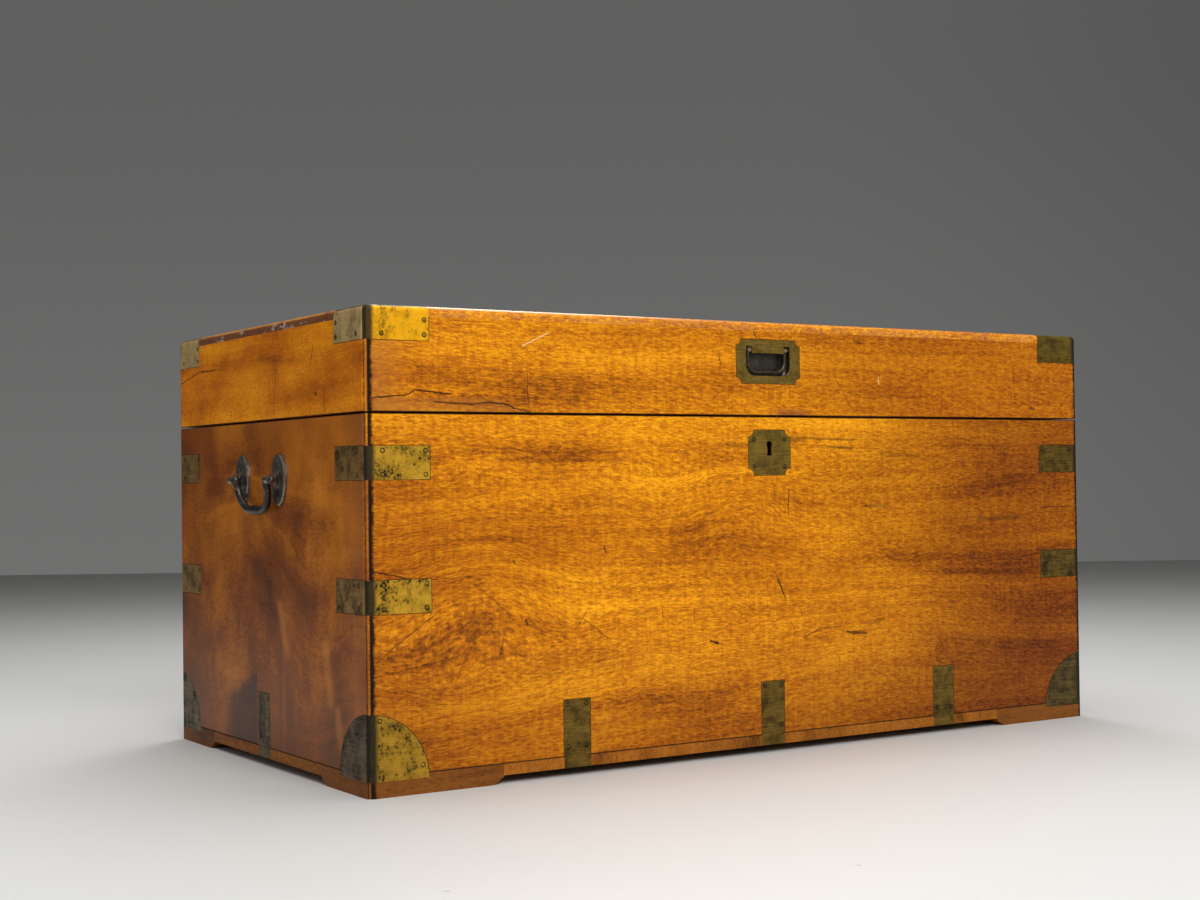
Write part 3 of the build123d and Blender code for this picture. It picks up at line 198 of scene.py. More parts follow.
class Graph:
    """The node tree of one material, or of the world."""

    def __init__(self, name: str, for_world: bool = False) -> None:
        """Make an empty tree with an output node."""
        self.owner = (bpy.data.worlds if for_world else bpy.data.materials).new(name)
        self.owner.use_nodes = True
        self.tree = self.owner.node_tree
        self.tree.nodes.clear()
        kind = "World" if for_world else "Material"
        self.output = self.tree.nodes.new(f"ShaderNodeOutput{kind}")

    def node(self, kind: str, settings: Optional[dict[str, Any]] = None,
             inputs: Optional[dict[Union[int, str], Any]] = None) -> bpy.types.Node:
        """Add one node.

        Args:
            kind: The node's type name.
            settings: Properties that are set before the sockets.
            inputs: Values or links, by socket name or number.

        Returns:
            The new node.
        """
        made = self.tree.nodes.new(kind)
        for key, value in (settings or {}).items():
            setattr(made, key, value)
        for key, value in (inputs or {}).items():
            self.feed(made.inputs[key], value)
        return made

    def feed(self, socket: Socket, value: Any) -> None:
        """Set a socket from a number, a colour, a signal or another socket."""
        if isinstance(value, Signal):
            self.tree.links.new(value.socket, socket)
        elif isinstance(value, Socket):
            self.tree.links.new(value, socket)
        elif socket.type == "RGBA" and len(value) == 3:
            socket.default_value = (*value, 1.0)
        else:
            socket.default_value = value

    def place(self) -> Place:
        """Give the point's x, y and z in the row frame at rest, in metres."""
        coordinates = self.node("ShaderNodeTexCoord").outputs["Object"]
        parts = self.node("ShaderNodeSeparateXYZ", None, {0: coordinates})
        return tuple(Signal(self, output) for output in parts.outputs)

    def vector(self, x: Value, y: Value, z: Value) -> Socket:
        """Join three numbers into a vector."""
        return self.node("ShaderNodeCombineXYZ", None, {0: x, 1: y, 2: z}).outputs[0]

    def noise(self, x: Value, y: Value, z: Value, detail: float = 2.0, roughness: float = 0.5) -> Signal:
        """Sample smooth noise, about 0.5, at a point whose numbers are already scaled.

        Args:
            x: First coordinate.
            y: Second coordinate.
            z: Third coordinate, or a fixed number that picks a pattern.
            detail: Octaves.
            roughness: Strength of the finer octaves.

        Returns:
            The noise.
        """
        inputs = {"Vector": self.vector(x, y, z), "Scale": 1.0, "Detail": detail, "Roughness": roughness}
        node = self.node("ShaderNodeTexNoise", {"noise_dimensions": "3D"}, inputs)
        return Signal(self, node.outputs["Fac"])

    def cells(self, x: Value, y: Value, z: Value, randomness: float = 1.0) -> Signal:
        """Give the distance to the nearest of scattered points."""
        node = self.node("ShaderNodeTexVoronoi", {"feature": "F1"},
                         {"Vector": self.vector(x, y, z), "Scale": 1.0, "Randomness": randomness})
        return Signal(self, node.outputs["Distance"])

    def ramp(self, factor: Signal, stops: Sequence[tuple[float, Colour]]) -> Socket:
        """Turn a number into a colour through a ramp of stops."""
        node = self.node("ShaderNodeValToRGB", None, {0: factor})
        elements = node.color_ramp.elements
        while len(elements) < len(stops):
            elements.new(0.5)
        for element, (position, colour) in zip(elements, stops):
            element.position = position
            element.color = (*colour, 1.0)
        return node.outputs["Color"]

    def mix(self, factor: Value, first: ColourValue, second: ColourValue, mode: str = "MIX") -> Socket:
        """Mix two colours.

        Args:
            factor: Share of the second colour.
            first: Colour at 0.
            second: Colour at 1.
            mode: Blend mode.

        Returns:
            The mixed colour.
        """
        node = self.node("ShaderNodeMix", {"data_type": "RGBA", "blend_type": mode, "clamp_factor": True},
                         {0: factor, 6: first, 7: second})
        return node.outputs[2]

    def bump(self, height: Signal, distance: float, strength: float = 1.0) -> Socket:
        """Turn a height in units of distance into a normal."""
        node = self.node("ShaderNodeBump", None,
                         {"Height": height, "Distance": distance, "Strength": strength})
        return node.outputs["Normal"]

    def constant(self, value: float) -> Signal:
        """Make a signal that is the same everywhere."""
        made = self.node("ShaderNodeValue")
        made.outputs[0].default_value = value
        return Signal(self, made.outputs[0])

    def vector_math(self, operation: str, *values: Any) -> bpy.types.Node:
        """Add a Vector Math node on the values; a scale is given by its socket's name."""
        named = {"Scale": values[1]} if operation == "SCALE" else {1: values[1]}
        return self.node("ShaderNodeVectorMath", {"operation": operation}, {0: values[0], **named})

    def segment(self, point: Socket, start: Vector, end: Vector) -> Signal:
        """Measure the distance from a point to a straight line between two places.

        Args:
            point: The shaded point.
            start: One end.
            end: The other end.

        Returns:
            The distance, in the point's units.
        """
        direction = end - start
        offset = self.vector_math("SUBTRACT", point, tuple(start)).outputs[0]
        along = self.vector_math("DOT_PRODUCT", offset, tuple(direction / direction.length_squared))
        share = Signal(self, along.outputs["Value"]).most(0.0).least(1.0)
        nearest = self.vector_math("SCALE", tuple(direction), share).outputs[0]
        return Signal(self, self.vector_math("DISTANCE", offset, nearest).outputs["Value"])

    def principled(self, inputs: dict[str, Any]) -> bpy.types.Material:
        """Finish the material with one Principled shader."""
        return self.close(self.node("ShaderNodeBsdfPrincipled", None, inputs))

    def by_ray(self, light: bpy.types.Node, seen: bpy.types.Node) -> Any:
        """Finish with one shader that only the camera sees, and another for every other ray."""
        camera_ray = self.node("ShaderNodeLightPath").outputs["Is Camera Ray"]
        shaders = {0: camera_ray, 1: light.outputs[0], 2: seen.outputs[0]}
        return self.close(self.node("ShaderNodeMixShader", None, shaders))

    def close(self, shader: bpy.types.Node) -> Any:
        """Link the last shader to the output, and give the material or the world."""
        self.tree.links.new(shader.outputs[0], self.output.inputs[0])
        return self.owner


# Finishes

@dataclass(frozen=True)
class Mark:
    """A crack, scratch or small knot on a board's face, in millimetres.

    Args:
        places: Places that the mark runs through, as (along, across) pairs.
        width: Half width.
        strength: Share of the mark's colour.
        core: Part of the half width that is solid.
    """

    places: Sequence[tuple[float, float]]
    width: float
    strength: float
    core: float

    def share(self, graph: Graph, point: Socket) -> Signal:
        """Give the mark's share at a point that is in millimetres."""
        lines = [graph.segment(point, Vector((*start, 0.0)), Vector((*end, 0.0)))
                 for start, end in zip(self.places, self.places[1:])]
        nearest = lines[0]
        for line in lines[1:]:
            nearest = nearest.least(line)
        return nearest.step(self.width * (1.75 - self.core), self.width * self.core) * self.strength


def marks(*rows: tuple, core: float = 0.5) -> tuple[Mark, ...]:
    """Make marks from rows of half width, strength and the places that each runs through.

    Args:
        rows: The rows, in millimetres.
        core: Part of the half width that is solid.

    Returns:
        The marks.
    """
    return tuple(Mark(places, width, strength, core) for width, strength, *places in rows)


# Scratches, cracks and knots of the front
FRONT_MARKS = marks(
    (0.8, 0.85, (-502, 225), (-476, 220), (-449, 213)),
    (0.5, 0.45, (-457, 214), (-386, 216)),
    (1.5, 0.30, (-386, 208), (-344, 174)),
    (0.7, 0.55, (-499, 133), (-482, 146), (-431, 180)),
    (0.6, 0.5, (-499, 120), (-402, 136)),
    (1.6, 0.7, (-340, 230), (-338, 228)),
    (1.3, 0.7, (-227, 243), (-225, 235)),
    (0.7, 0.6, (-255, 167), (-224, 143)),
    (0.6, 0.5, (-250, 174), (-265, 155)),
    (1.5, 0.8, (-326, 168), (-324, 163)),
    (0.9, 0.5, (-390, 171), (-405, 162)),
    (1.6, 0.45, (-354, 147), (-356, 134)),
    (0.5, 0.45, (-334, 112), (-279, 110)),
    (0.6, 0.6, (3, 209), (10, 197)),
    (1.2, 0.9, (10, 197), (20, 175)),
    (0.7, 0.75, (27, 298), (26, 269)),
    (0.5, 0.55, (7, 303), (6, 286)),
    (0.6, 0.6, (28, 148), (35, 134)),
    (0.5, 0.4, (-50, 237), (12, 219)),
    (1.8, 0.9, (-87, 132), (-77, 129)),
    (0.8, 0.6, (45, 128), (71, 137), (103, 138)),
    (2.0, 0.75, (112, 131), (141, 128)),
    (3.2, 0.35, (144, 140), (168, 143)),
    (4.0, 0.45, (28, 357), (50, 358)),
    (1.4, 0.5, (50, 359), (128, 357)),
    (1.6, 0.55, (87, 349), (124, 347)),
    (3.0, 0.25, (169, 341), (230, 338)),
    (3.0, 0.35, (-60, 352), (-28, 350)),
    (2.2, 0.4, (144, 279), (176, 277)),
    (3.5, 0.35, (327, 258), (398, 260)),
    (0.7, 0.6, (443, 272), (495, 271)),
    (0.6, 0.45, (317, 205), (437, 212)),
    (0.8, 0.6, (93, 109), (100, 100)),
    (0.6, 0.6, (-152, 169), (-151, 160)),
    (0.6, 0.55, (-109, 167), (-110, 156)),
    (0.8, 0.55, (-286, 344), (-280, 350)),
)

# Pale flames of the end boards
END_GLINTS = marks(
    (8.0, 0.40, (-52, 180), (-60, 160), (-70, 133)),
    (8.0, 0.40, (-173, 145), (-178, 115), (-184, 90)),
    (7.0, 0.30, (-200, 80), (-205, 50)),
    (9.0, 0.22, (-150, 330), (-160, 290)),
    core=0.0,
)

# Cracks and scratches of the lid's front
LID_FRONT_MARKS = marks(
    (0.8, 0.9, (-502, 398), (-460, 402), (-452, 407), (-411, 403)),
    (0.8, 0.85, (-431, 395), (-387, 393), (-370, 395), (-348, 394), (-330, 388), (-317, 386)),
    (0.5, 0.6, (-321, 433), (-320, 400), (-317, 388)),
    (0.5, 0.6, (-144, 408), (-142, 389)),
    (0.5, 0.6, (-133, 407), (-127, 390)),
    (0.6, 0.7, (-71, 455), (-68, 441)),
    (0.5, 0.5, (-183, 453), (-183, 436)),
    (0.9, 0.7, (-22, 484), (-17, 474)),
    (0.5, 0.6, (96, 435), (126, 392)),
    (1.6, 0.5, (128, 475), (140, 471)),
    (0.5, 0.5, (327, 480), (344, 465)),
    (1.2, 0.3, (391, 453), (394, 408)),
    (2.0, 0.6, (421, 398), (427, 397)),
)

# Cracks and scratches of the lid's end boards
LID_END_MARKS = marks(
    (0.9, 0.75, (259, 438), (189, 450), (138, 449)),
    (0.7, 0.7, (-47, 448), (-40, 390)),
    (0.8, 0.75, (-148, 459), (-139, 439)),
    (0.8, 0.75, (-174, 414), (-175, 388)),
    (1.8, 0.85, (-151, 409), (-154, 407)),
)

# Pale scratches of the lid's front
LID_FRONT_GLINTS = marks(
    (0.7, 0.75, (-326, 455), (-294, 470)),
    (0.8, 0.6, (166, 432), (167, 424)),
)


@dataclass(frozen=True)
class Eddy:
    """A place where the figure is pushed up, in metres.

    Args:
        middle: Its middle, as (along, across).
        reach: How far it reaches each way.
        lift: How far the lines are pushed up at its middle.
    """

    middle: tuple[float, float]
    reach: tuple[float, float]
    lift: float

    def shift(self, graph: Graph, point: Socket) -> Signal:
        """Give the push at a point."""
        offset = graph.vector_math("SUBTRACT", point, (*self.middle, 0.0)).outputs[0]
        scaled = graph.vector_math("MULTIPLY", offset, (1 / self.reach[0], 1 / self.reach[1], 0.0)).outputs[0]
        length = Signal(graph, graph.vector_math("LENGTH", scaled, (0.0, 0.0, 0.0)).outputs["Value"])
        return length.step(1.0, 0.0) * self.lift


class Inlay:
    """A plate let into a board, round which soiling has gathered."""

    def outside(self, along: Signal, across: Signal) -> Signal:
        """Measure how far a point is outside the plate, in metres."""
        raise NotImplementedError

    def line(self, along: Signal, across: Signal, width: float) -> Signal:
        """Give the share of the dark line round the plate, of a half width, at a point."""
        return abs(self.outside(along, across)).step(width, width * 0.2)


@dataclass(frozen=True)
class Panel(Inlay):
    """A rectangular inlay, in metres.

    Args:
        middle: Its middle, as (along, across).
        half: Half its size each way.
        hollow: Radius of its hollow corners.
    """

    middle: tuple[float, float]
    half: tuple[float, float]
    hollow: float = 0.0

    def outside(self, along: Signal, across: Signal) -> Signal:
        """Measure how far a point is outside the rectangle."""
        beside = abs(along - self.middle[0]) - self.half[0]
        above = abs(across - self.middle[1]) - self.half[1]
        outside = beside.most(above)
        if self.hollow:
            outside = outside.most(self.hollow - (beside * beside + above * above) ** 0.5)
        return outside


@dataclass(frozen=True)
class Disc(Inlay):
    """A quarter-round inlay in a board's corner, in metres.

    Args:
        middle: The corner, as (along, across).
        radius: Its radius.
    """

    middle: tuple[float, float]
    radius: float

    def outside(self, along: Signal, across: Signal) -> Signal:
        """Measure how far a point is outside the arc."""
        beside = along - self.middle[0]
        above = across - self.middle[1]
        return (beside * beside + above * above) ** 0.5 - self.radius


@dataclass(frozen=True)
class CamphorWood:
    """Polished camphor wood with wandering dark bands, bright flecks, ripple and dark pores.

    Args:
        name: Name of the material.
        grain: Which way the grain runs.
        light: Colour of the brightest flecks.
        middle: Colour of plain wood.
        dark: Colour of the dark bands.
        band: Strength of the dark bands.
        fleck: Strength of the flecks.
        streak: Strength of the long thin streaks.
        mottle: Strength of the cloudy figure.
        blotch: How many clouds there are to a metre, along and across.
        cloud: Strength of the large dark clouds.
        wave: How far the figure wanders, in metres.
        seed: Picks the pattern.
        coat: Weight of the polish.
        eddies: Places that push the figure.
        inlays: Plates on one half of the board, mirrored to the other half.
        marks: Cracks, scratches and knots.
        glints: Pale scratches and flames.
        glint: Colour of the glints.
    """

    name: str
    grain: Grain
    light: Colour = (0.92, 0.385, 0.005)
    middle: Colour = (0.55, 0.170, 0.001)
    dark: Colour = (0.19, 0.045, 0.001)
    band: float = 0.70
    fleck: float = 0.80
    streak: float = 0.36
    mottle: float = 0.60
    blotch: tuple[float, float] = (3.4, 9.5)
    cloud: float = 0.55
    wave: float = 0.04
    seed: float = 0.0
    coat: float = 0.10
    eddies: Sequence[Eddy] = ()
    inlays: Sequence[Inlay] = ()
    marks: Sequence[Mark] = ()
    glints: Sequence[Mark] = ()
    glint: Colour = (0.85, 0.55, 0.25)

    def material(self) -> bpy.types.Material:
        """Build the material."""
        graph = Graph(self.name)
        place = graph.place()
        along, across, through = (place[axis.value] for axis in self.grain.value)
        seed = self.seed
        line = self.lines(graph, along, across, through)
        bands = graph.noise(along * 1.5 + seed, line * 33.0, through * 12.0, 2.5, 0.5)
        fine = graph.noise(along * 3.6 + seed, line * 210.0, through * 60.0, 2.0, 0.6)
        flecks = graph.noise(along * 150.0 + line * 130.0, line * 560.0, through * 300.0 + seed, 2.0, 0.65)
        pores = graph.noise(along * 120.0, line * 1100.0, through * 500.0 + seed, 1.0)
        ripple = graph.noise(along * 260.0, across * 26.0, seed + 9.0, 1.5)
        wide, tall = self.blotch
        clouds = graph.noise(along * wide + seed, line * tall, through * 3.0 + 2.0, 3.0, 0.55)
        tone = (0.50 + (fine - 0.5) * self.streak + (flecks - 0.5) * (1.60 * self.fleck)
                + (ripple - 0.5) * (0.35 * self.fleck) + (clouds - 0.5) * self.mottle)
        deep = bands.step(0.49, 0.68) * (0.30 + clouds.step(0.62, 0.38) * 0.70)
        tone = tone - deep * (0.34 * self.band) + bands.step(0.46, 0.32) * 0.12
        colour = graph.ramp(tone, (
            (0.08, self.dark),
            (0.44, self.middle),
            (0.80, self.light),
            (1.00, tuple(min(channel * 1.12 + 0.012, 1.0) for channel in self.light)),
        ))
        shaded = graph.noise(along * 2.2 + seed, across * 6.0, through * 3.0 + 7.0, 2.0).step(0.48, 0.70)
        colour = graph.mix(shaded * self.cloud, colour, (0.60, 0.44, 0.30), "MULTIPLY")
        pore = pores.step(0.60, 0.74) * 0.6
        colour = graph.mix(pore, colour, self.dark)
        colour = self.places(graph, place, colour)
        wobble = graph.noise(place[0] * 160.0 + place[1] * 160.0, place[2] * 160.0, 4.0, 2.0)
        point = self.millimetres(graph, along, across, wobble)
        colour = graph.mix(self.marked(graph, point, self.glints), colour, self.glint)
        marks = self.marked(graph, point, self.marks)
        dirt_and_shade = self.dirt_and_shade(place, along, across, wobble).most(marks).least(1.0) * self.outside(place)
        # Soiling, dark joints and marks go near-black here, and so does the painted shade along the upright
        # edges.
        colour = graph.mix(dirt_and_shade, colour, (0.010, 0.005, 0.002))
        height = flecks * 0.5 + ripple * 0.25 + fine * 0.35 - dirt_and_shade * 1.2 - pore * 0.8
        return graph.principled({
            "Base Color": colour,
            "Roughness": 0.34 + (1.0 - flecks) * 0.16 + clouds * 0.12 + dirt_and_shade * 0.3,
            "Normal": graph.bump(height, 0.00022, 0.9),
            "Specular IOR Level": 0.10,
            "Coat Weight": self.coat - dirt_and_shade * (0.9 * self.coat),
            "Coat Roughness": 0.12,
        })

    def millimetres(self, graph: Graph, along: Signal, across: Signal, wobble: Signal) -> Socket:
        """Give the point on the face in millimetres, a little shaken."""
        wander = (wobble - 0.5) * 3.0
        return graph.vector(along * 1000.0 + wander, across * 1000.0 + wander, 0.0)

    def marked(self, graph: Graph, point: Socket, marks: Sequence[Mark]) -> Signal:
        """Give the share of a set of marks at a point."""
        share = graph.constant(0.0)
        for mark in marks:
            share = share.most(mark.share(graph, point))
        return share

    def lines(self, graph: Graph, along: Signal, across: Signal, through: Signal) -> Signal:
        """Give the wandering line that the bands and pores follow, in metres across the board."""
        seed = self.seed
        wide = graph.noise(along * 1.5 + seed, across * 4.0, through * 2.0 + seed, 1.0)
        small = graph.noise(along * 7.0 + seed, across * 15.0, through * 9.0, 2.0)
        line = across + (wide - 0.5) * (2.0 * self.wave) + (small - 0.5) * (0.42 * self.wave)
        point = graph.vector(along, across, 0.0)
        for eddy in self.eddies:
            line = line - eddy.shift(graph, point)
        return line

    def outside(self, place: Place) -> Signal:
        """Give 1 on the trunk's outer faces and 0 inside and on the rims."""
        x, y, _ = place
        ends = abs(x).step(TRUNK.half_width - 2 * MM, TRUNK.half_width - MM)
        sides = abs(y - TRUNK.middle).step(TRUNK.half_depth - 2 * MM, TRUNK.half_depth - MM)
        return ends.most(sides)

    def dirt_and_shade(self, place: Place, along: Signal, across: Signal, wobble: Signal) -> Signal:
        """Give the share of soiling at the seams and round the brass, and of painted shade along the rounded
        upright edges.
        """
        x, y, z = place
        seam = abs(z - TRUNK.seam).step(0.0022, 0.0011) * 0.92
        joint = abs(z - TRUNK.joint).step(0.0011, 0.0004) * 0.85
        share = seam.most(joint)
        # Painted shade: a near-black band within about a centimetre of the rounded upright edges, thinner on
        # the ends.
        edge = self.edge(x, y) + (wobble - 0.5) * 0.006
        share = share.most(edge.step(0.0102, 0.0060) * 0.99)
        mirrored = abs(along - (TRUNK.middle if self.grain.value[0] is Axis.Y else 0.0))
        for inlay in self.inlays:
            share = share.most(inlay.line(mirrored, across, 0.0013) * (0.55 + wobble * 0.6))
        return share

    def edge(self, x: Signal, y: Signal) -> Signal:
        """Measure how far a point of the front or back is from the nearest upright edge."""
        return upright_edge(x, y, 4 * MM, 8 * MM)

    def places(self, graph: Graph, place: Place, colour: Socket) -> Socket:
        """Add what belongs to one place of a board; plain boards add nothing."""
        return colour


@dataclass(frozen=True)
class FrontWood(CamphorWood):
    """The body's front board: gold to the left, browner to the right and below."""

    def places(self, graph: Graph, place: Place, colour: Socket) -> Socket:
        """Darken the right and the foot of the front, and paint shade into the keyhole."""
        x, _, z = place
        cloud = graph.noise(x * 3.0, z * 7.0, 31.0, 3.0)
        wander = (cloud - 0.5) * 0.5
        right = (x + wander).step(-0.04, 0.46)
        colour = graph.mix(right * 0.95, colour, (0.42, 0.30, 0.22), "MULTIPLY")
        low = (z + wander * 0.22).step(0.17, 0.01)
        colour = graph.mix(low * 0.85, colour, (0.50, 0.38, 0.50), "MULTIPLY")
        left = (x + wander * 0.3).step(-0.34, -0.53)
        colour = graph.mix(left * 0.45, colour, (0.62, 0.52, 0.60), "MULTIPLY")
        # Painted shade: the keyhole is filled with near-black for the dark hollow behind it.
        keyhole = abs(x).step(0.0060, 0.0050) * abs(z - KEYHOLE_HEIGHT).step(0.0115, 0.0105)
        return graph.mix(keyhole, colour, (0.004, 0.003, 0.002))


@dataclass(frozen=True)
class LidFrontWood(CamphorWood):
    """The lid's front board: gold, orange to the right, with a pinkish piece along the seam at the left."""

    def places(self, graph: Graph, place: Place, colour: Socket) -> Socket:
        """Darken the right and tint the stained places."""
        x, _, z = place
        cloud = graph.noise(x * 3.0, z * 9.0, 17.0, 3.0)
        right = (x + (cloud - 0.5) * 0.5).step(-0.10, 0.36)
        colour = graph.mix(right * 0.92, colour, (0.58, 0.44, 0.30), "MULTIPLY")
        rise = x.step(-0.36, -0.32) * 0.013
        mended = x.step(-0.3185, -0.3195) * (z + rise).step(0.4005, 0.3985)
        colour = graph.mix(mended * 0.50, colour, (0.30, 0.100, 0.014))
        near = (x + (cloud - 0.5) * 0.06).step(-0.455, -0.500)
        colour = graph.mix(near * 0.45, colour, (0.33, 0.115, 0.020))
        stain = abs(x - 0.032).step(0.034, 0.012) * z.step(0.396, 0.388)
        return graph.mix(stain * 0.6, colour, (0.17, 0.036, 0.018))


@dataclass(frozen=True)
class EndWood(CamphorWood):
    """An end board: reddish brown, hazy and purplish towards the floor, orange near the top.

    Args:
        haze: Strength of the purplish haze.
    """

    haze: float = 1.0

    def places(self, graph: Graph, place: Place, colour: Socket) -> Socket:
        """Bring in the haze and light upright scuffs."""
        x, y, z = place
        cloud = graph.noise(y * 6.0, z * 5.0, 12.0, 3.0)
        top = (z + (cloud - 0.5) * 0.35 - y * 0.20).step(0.25, 0.42)
        colour = graph.mix(top * (0.62 * self.haze), colour, (0.40, 0.115, 0.006))
        far = (y + (cloud - 0.5) * 0.2).step(0.06, 0.27)
        colour = graph.mix(far * (0.50 * self.haze), colour, (0.42, 0.32, 0.25), "MULTIPLY")
        low = (z + (cloud - 0.5) * 0.25).step(0.20, 0.00)
        colour = graph.mix(low * (0.45 * self.haze), colour, (0.24, 0.082, 0.025))
        near = (y + (cloud - 0.5) * 0.05).step(-0.20, -0.262)
        colour = graph.mix(near * (0.45 * self.haze), colour, (0.30, 0.095, 0.022))
        left = x.step(0.0, -0.1) * self.haze
        stain = (y + (cloud - 0.5) * 0.05).step(0.125, 0.075) * y.step(0.014, 0.018)
        stain = stain * (z + (cloud - 0.5) * 0.10 + y * 0.35).step(0.118, 0.095)
        colour = graph.mix(stain * left * 0.85, colour, (0.050, 0.026, 0.017))
        scuff = graph.noise(y * 60.0, z * 4.0, 3.0, 2.0).step(0.60, 0.78)
        return graph.mix(scuff * 0.16, colour, (0.50, 0.22, 0.09))

    def edge(self, x: Signal, y: Signal) -> Signal:
        """Measure how far a point of an end is from the nearest upright edge, counted as farther off."""
        return (TRUNK.half_depth - abs(y - TRUNK.middle)) * 1.6 + MM


@dataclass(frozen=True)
class LidTopWood(CamphorWood):
    """The lid's top board: paler in chipped spots along its rounded front edge, partly wear and partly a
    painted highlight, dark at its scuffed ends.
    """

    def places(self, graph: Graph, place: Place, colour: Socket) -> Socket:
        """Add the worn edges and the painted highlight along the front rounding."""
        x, y, z = place
        chips = graph.noise(x * 40.0, y * 40.0, z * 90.0, 4.0, 0.65)
        face = z.step(0.4905, 0.4885)
        front = face * y.step(-0.262, -0.266)
        # Pale chipped strip on the front rounding: wear, and a painted highlight.
        colour = graph.mix(front * chips.step(0.42, 0.60) * 0.35, colour, (0.42, 0.15, 0.050))
        end = face * abs(x).step(0.499, 0.503)
        colour = graph.mix(end * 0.85, colour, (0.11, 0.034, 0.020))
        scuff = end * chips.step(0.58, 0.68)
        return graph.mix(scuff * 0.8, colour, (0.55, 0.46, 0.42))


@dataclass(frozen=True)
class AgedBrass:
    """Brass let into wood: worn in places, pitted and tarnished in others, with painted shade at the upright
    edges.

    Args:
        name: Name of the material.
        near: Colour of the front wing at the near corner.
        rest: Colour elsewhere.
        side: Colour on the end boards.
        pits: Share of the near wing's pits.
        stain: Strength of the dark patches.
        metallic: Share of metal.
    """

    name: str
    near: Colour
    rest: Colour
    side: Colour
    pits: float = 0.6
    stain: float = 0.75
    metallic: float = 0.45

    def material(self) -> bpy.types.Material:
        """Build the material."""
        graph = Graph(self.name)
        x, y, z = graph.place()
        near = (x + TRUNK.half_width).step(0.085, 0.080) * (y - TRUNK.low.y).step(2.7 * MM, 1.2 * MM)
        side = abs(x).step(TRUNK.half_width - 2 * MM, TRUNK.half_width - 0.8 * MM)
        patches = graph.noise(x * 48.0, y * 48.0, z * 48.0, 5.0, 0.66)
        fine = graph.noise(x * 330.0, y * 330.0, z * 330.0, 3.0, 0.7)
        brushed = graph.noise(x * 26.0 + y * 26.0, 7.0, z * 900.0, 2.0)
        # The near front wing and the end faces get their own colours, which paint the light falling on them
        # as well as the tarnish.
        colour = graph.mix(near, self.rest, self.near)
        colour = graph.mix(side, colour, self.side)
        shade = (patches * 0.9 + fine * 0.35).step(0.52, 0.82) * self.stain
        colour = graph.mix(shade, colour, (0.24, 0.27, 0.30), "MULTIPLY")
        worn = (patches * 0.5 + brushed * 0.8).step(0.68, 0.54)
        colour = graph.mix(worn * 0.50, colour, (0.14, 0.085, 0.012), "SCREEN")
        pits = graph.cells(x * 210.0, y * 210.0, z * 170.0).step(0.42, 0.20)
        scratch = graph.noise(x * 60.0, y * 60.0, z * 700.0, 2.0, 0.6).step(0.66, 0.74)
        crowd = patches.step(0.42, 0.60) * (0.30 + near * 0.70) * self.pits
        speck = (fine + patches * 0.6).step(0.92, 1.0) * self.pits
        dirt_and_shade = (pits * crowd).most(speck).most(scratch * crowd)
        # Painted shade: the brass turns near-black within about a centimetre of the rounded upright edges.
        corner = upright_edge(x, y, 5 * MM, 10 * MM) + (patches - 0.5) * 0.008
        dirt_and_shade = dirt_and_shade.most(corner.step(0.0135, 0.0065) * 0.98)
        colour = graph.mix(dirt_and_shade * 0.97, colour, (0.009, 0.008, 0.004))
        height = fine * 0.3 + brushed * 0.2 - dirt_and_shade * 0.8
        return graph.principled({
            "Base Color": colour,
            "Metallic": self.metallic - dirt_and_shade * (0.8 * self.metallic),
            "Roughness": 0.40 + shade * 0.15 + dirt_and_shade * 0.2 + (brushed - 0.5) * 0.1,
            "Normal": graph.bump(height, 0.00025, 0.9),
            "Specular IOR Level": 0.15,
        })


@dataclass(frozen=True)
class ShadeAndGrime:
    """Dark rings round nail heads: soiling, with painted shade round each proud head."""

    name: str

    def material(self) -> bpy.types.Material:
        """Build the material."""
        graph = Graph(self.name)
        x, y, z = graph.place()
        lumps = graph.noise(x * 900.0, y * 900.0, z * 900.0, 2.0)
        colour = graph.mix(lumps, (0.008, 0.007, 0.004), (0.040, 0.028, 0.012))
        return graph.principled({
            "Base Color": colour,
            "Roughness": 0.65 + lumps * 0.2,
            "Normal": graph.bump(lumps, 0.0001),
            "Specular IOR Level": 0.10,
        })


@dataclass(frozen=True)
class DarkBronze:
    """Cast bronze gone dark, bright where hands rub it.

    Args:
        name: Name of the material.
        dark: Colour of the tarnish.
        worn: Colour where it is rubbed.
        hammered: Strength of the chased texture.
    """

    name: str
    dark: Colour = (0.014, 0.012, 0.010)
    worn: Colour = (0.25, 0.215, 0.18)
    hammered: float = 0.9

    def material(self) -> bpy.types.Material:
        """Build the material."""
        graph = Graph(self.name)
        x, y, z = graph.place()
        patches = graph.noise(x * 95.0, y * 95.0, z * 95.0, 4.0, 0.6)
        chased = graph.cells(x * 210.0, y * 260.0, z * 190.0)
        fine = graph.noise(x * 700.0, y * 700.0, z * 700.0, 2.0)
        edge = Signal(graph, graph.node("ShaderNodeNewGeometry").outputs["Pointiness"])
        rubbed = (edge.step(0.51, 0.60) * 0.7 + patches.step(0.50, 0.72) * 0.4
                  + chased.step(0.30, 0.65) * (0.30 * self.hammered)).least(1.0)
        colour = graph.mix(rubbed, self.dark, self.worn)
        return graph.principled({
            "Base Color": colour,
            "Metallic": 0.85,
            "Roughness": 0.36 - rubbed * 0.12,
            "Normal": graph.bump(chased * 0.7 + fine * 0.2, 0.0006, self.hammered),
        })


@dataclass(frozen=True)
class PlainMetal:
    """Brass or iron of the hidden fittings, satin with light tarnish."""

    name: str
    colour: Colour
    stain: Colour

    def material(self) -> bpy.types.Material:
        """Build the material."""
        graph = Graph(self.name)
        x, y, z = graph.place()
        patches = graph.noise(x * 60.0, y * 60.0, z * 60.0, 4.0, 0.6)
        brushed = graph.noise(x * 40.0, y * 900.0, z * 900.0, 2.0)
        return graph.principled({
            "Base Color": graph.mix(patches.step(0.42, 0.72), self.colour, self.stain),
            "Metallic": 0.95,
            "Roughness": 0.34 + brushed * 0.2,
            "Normal": graph.bump(brushed, 0.00008, 0.5),
        })


# Stage

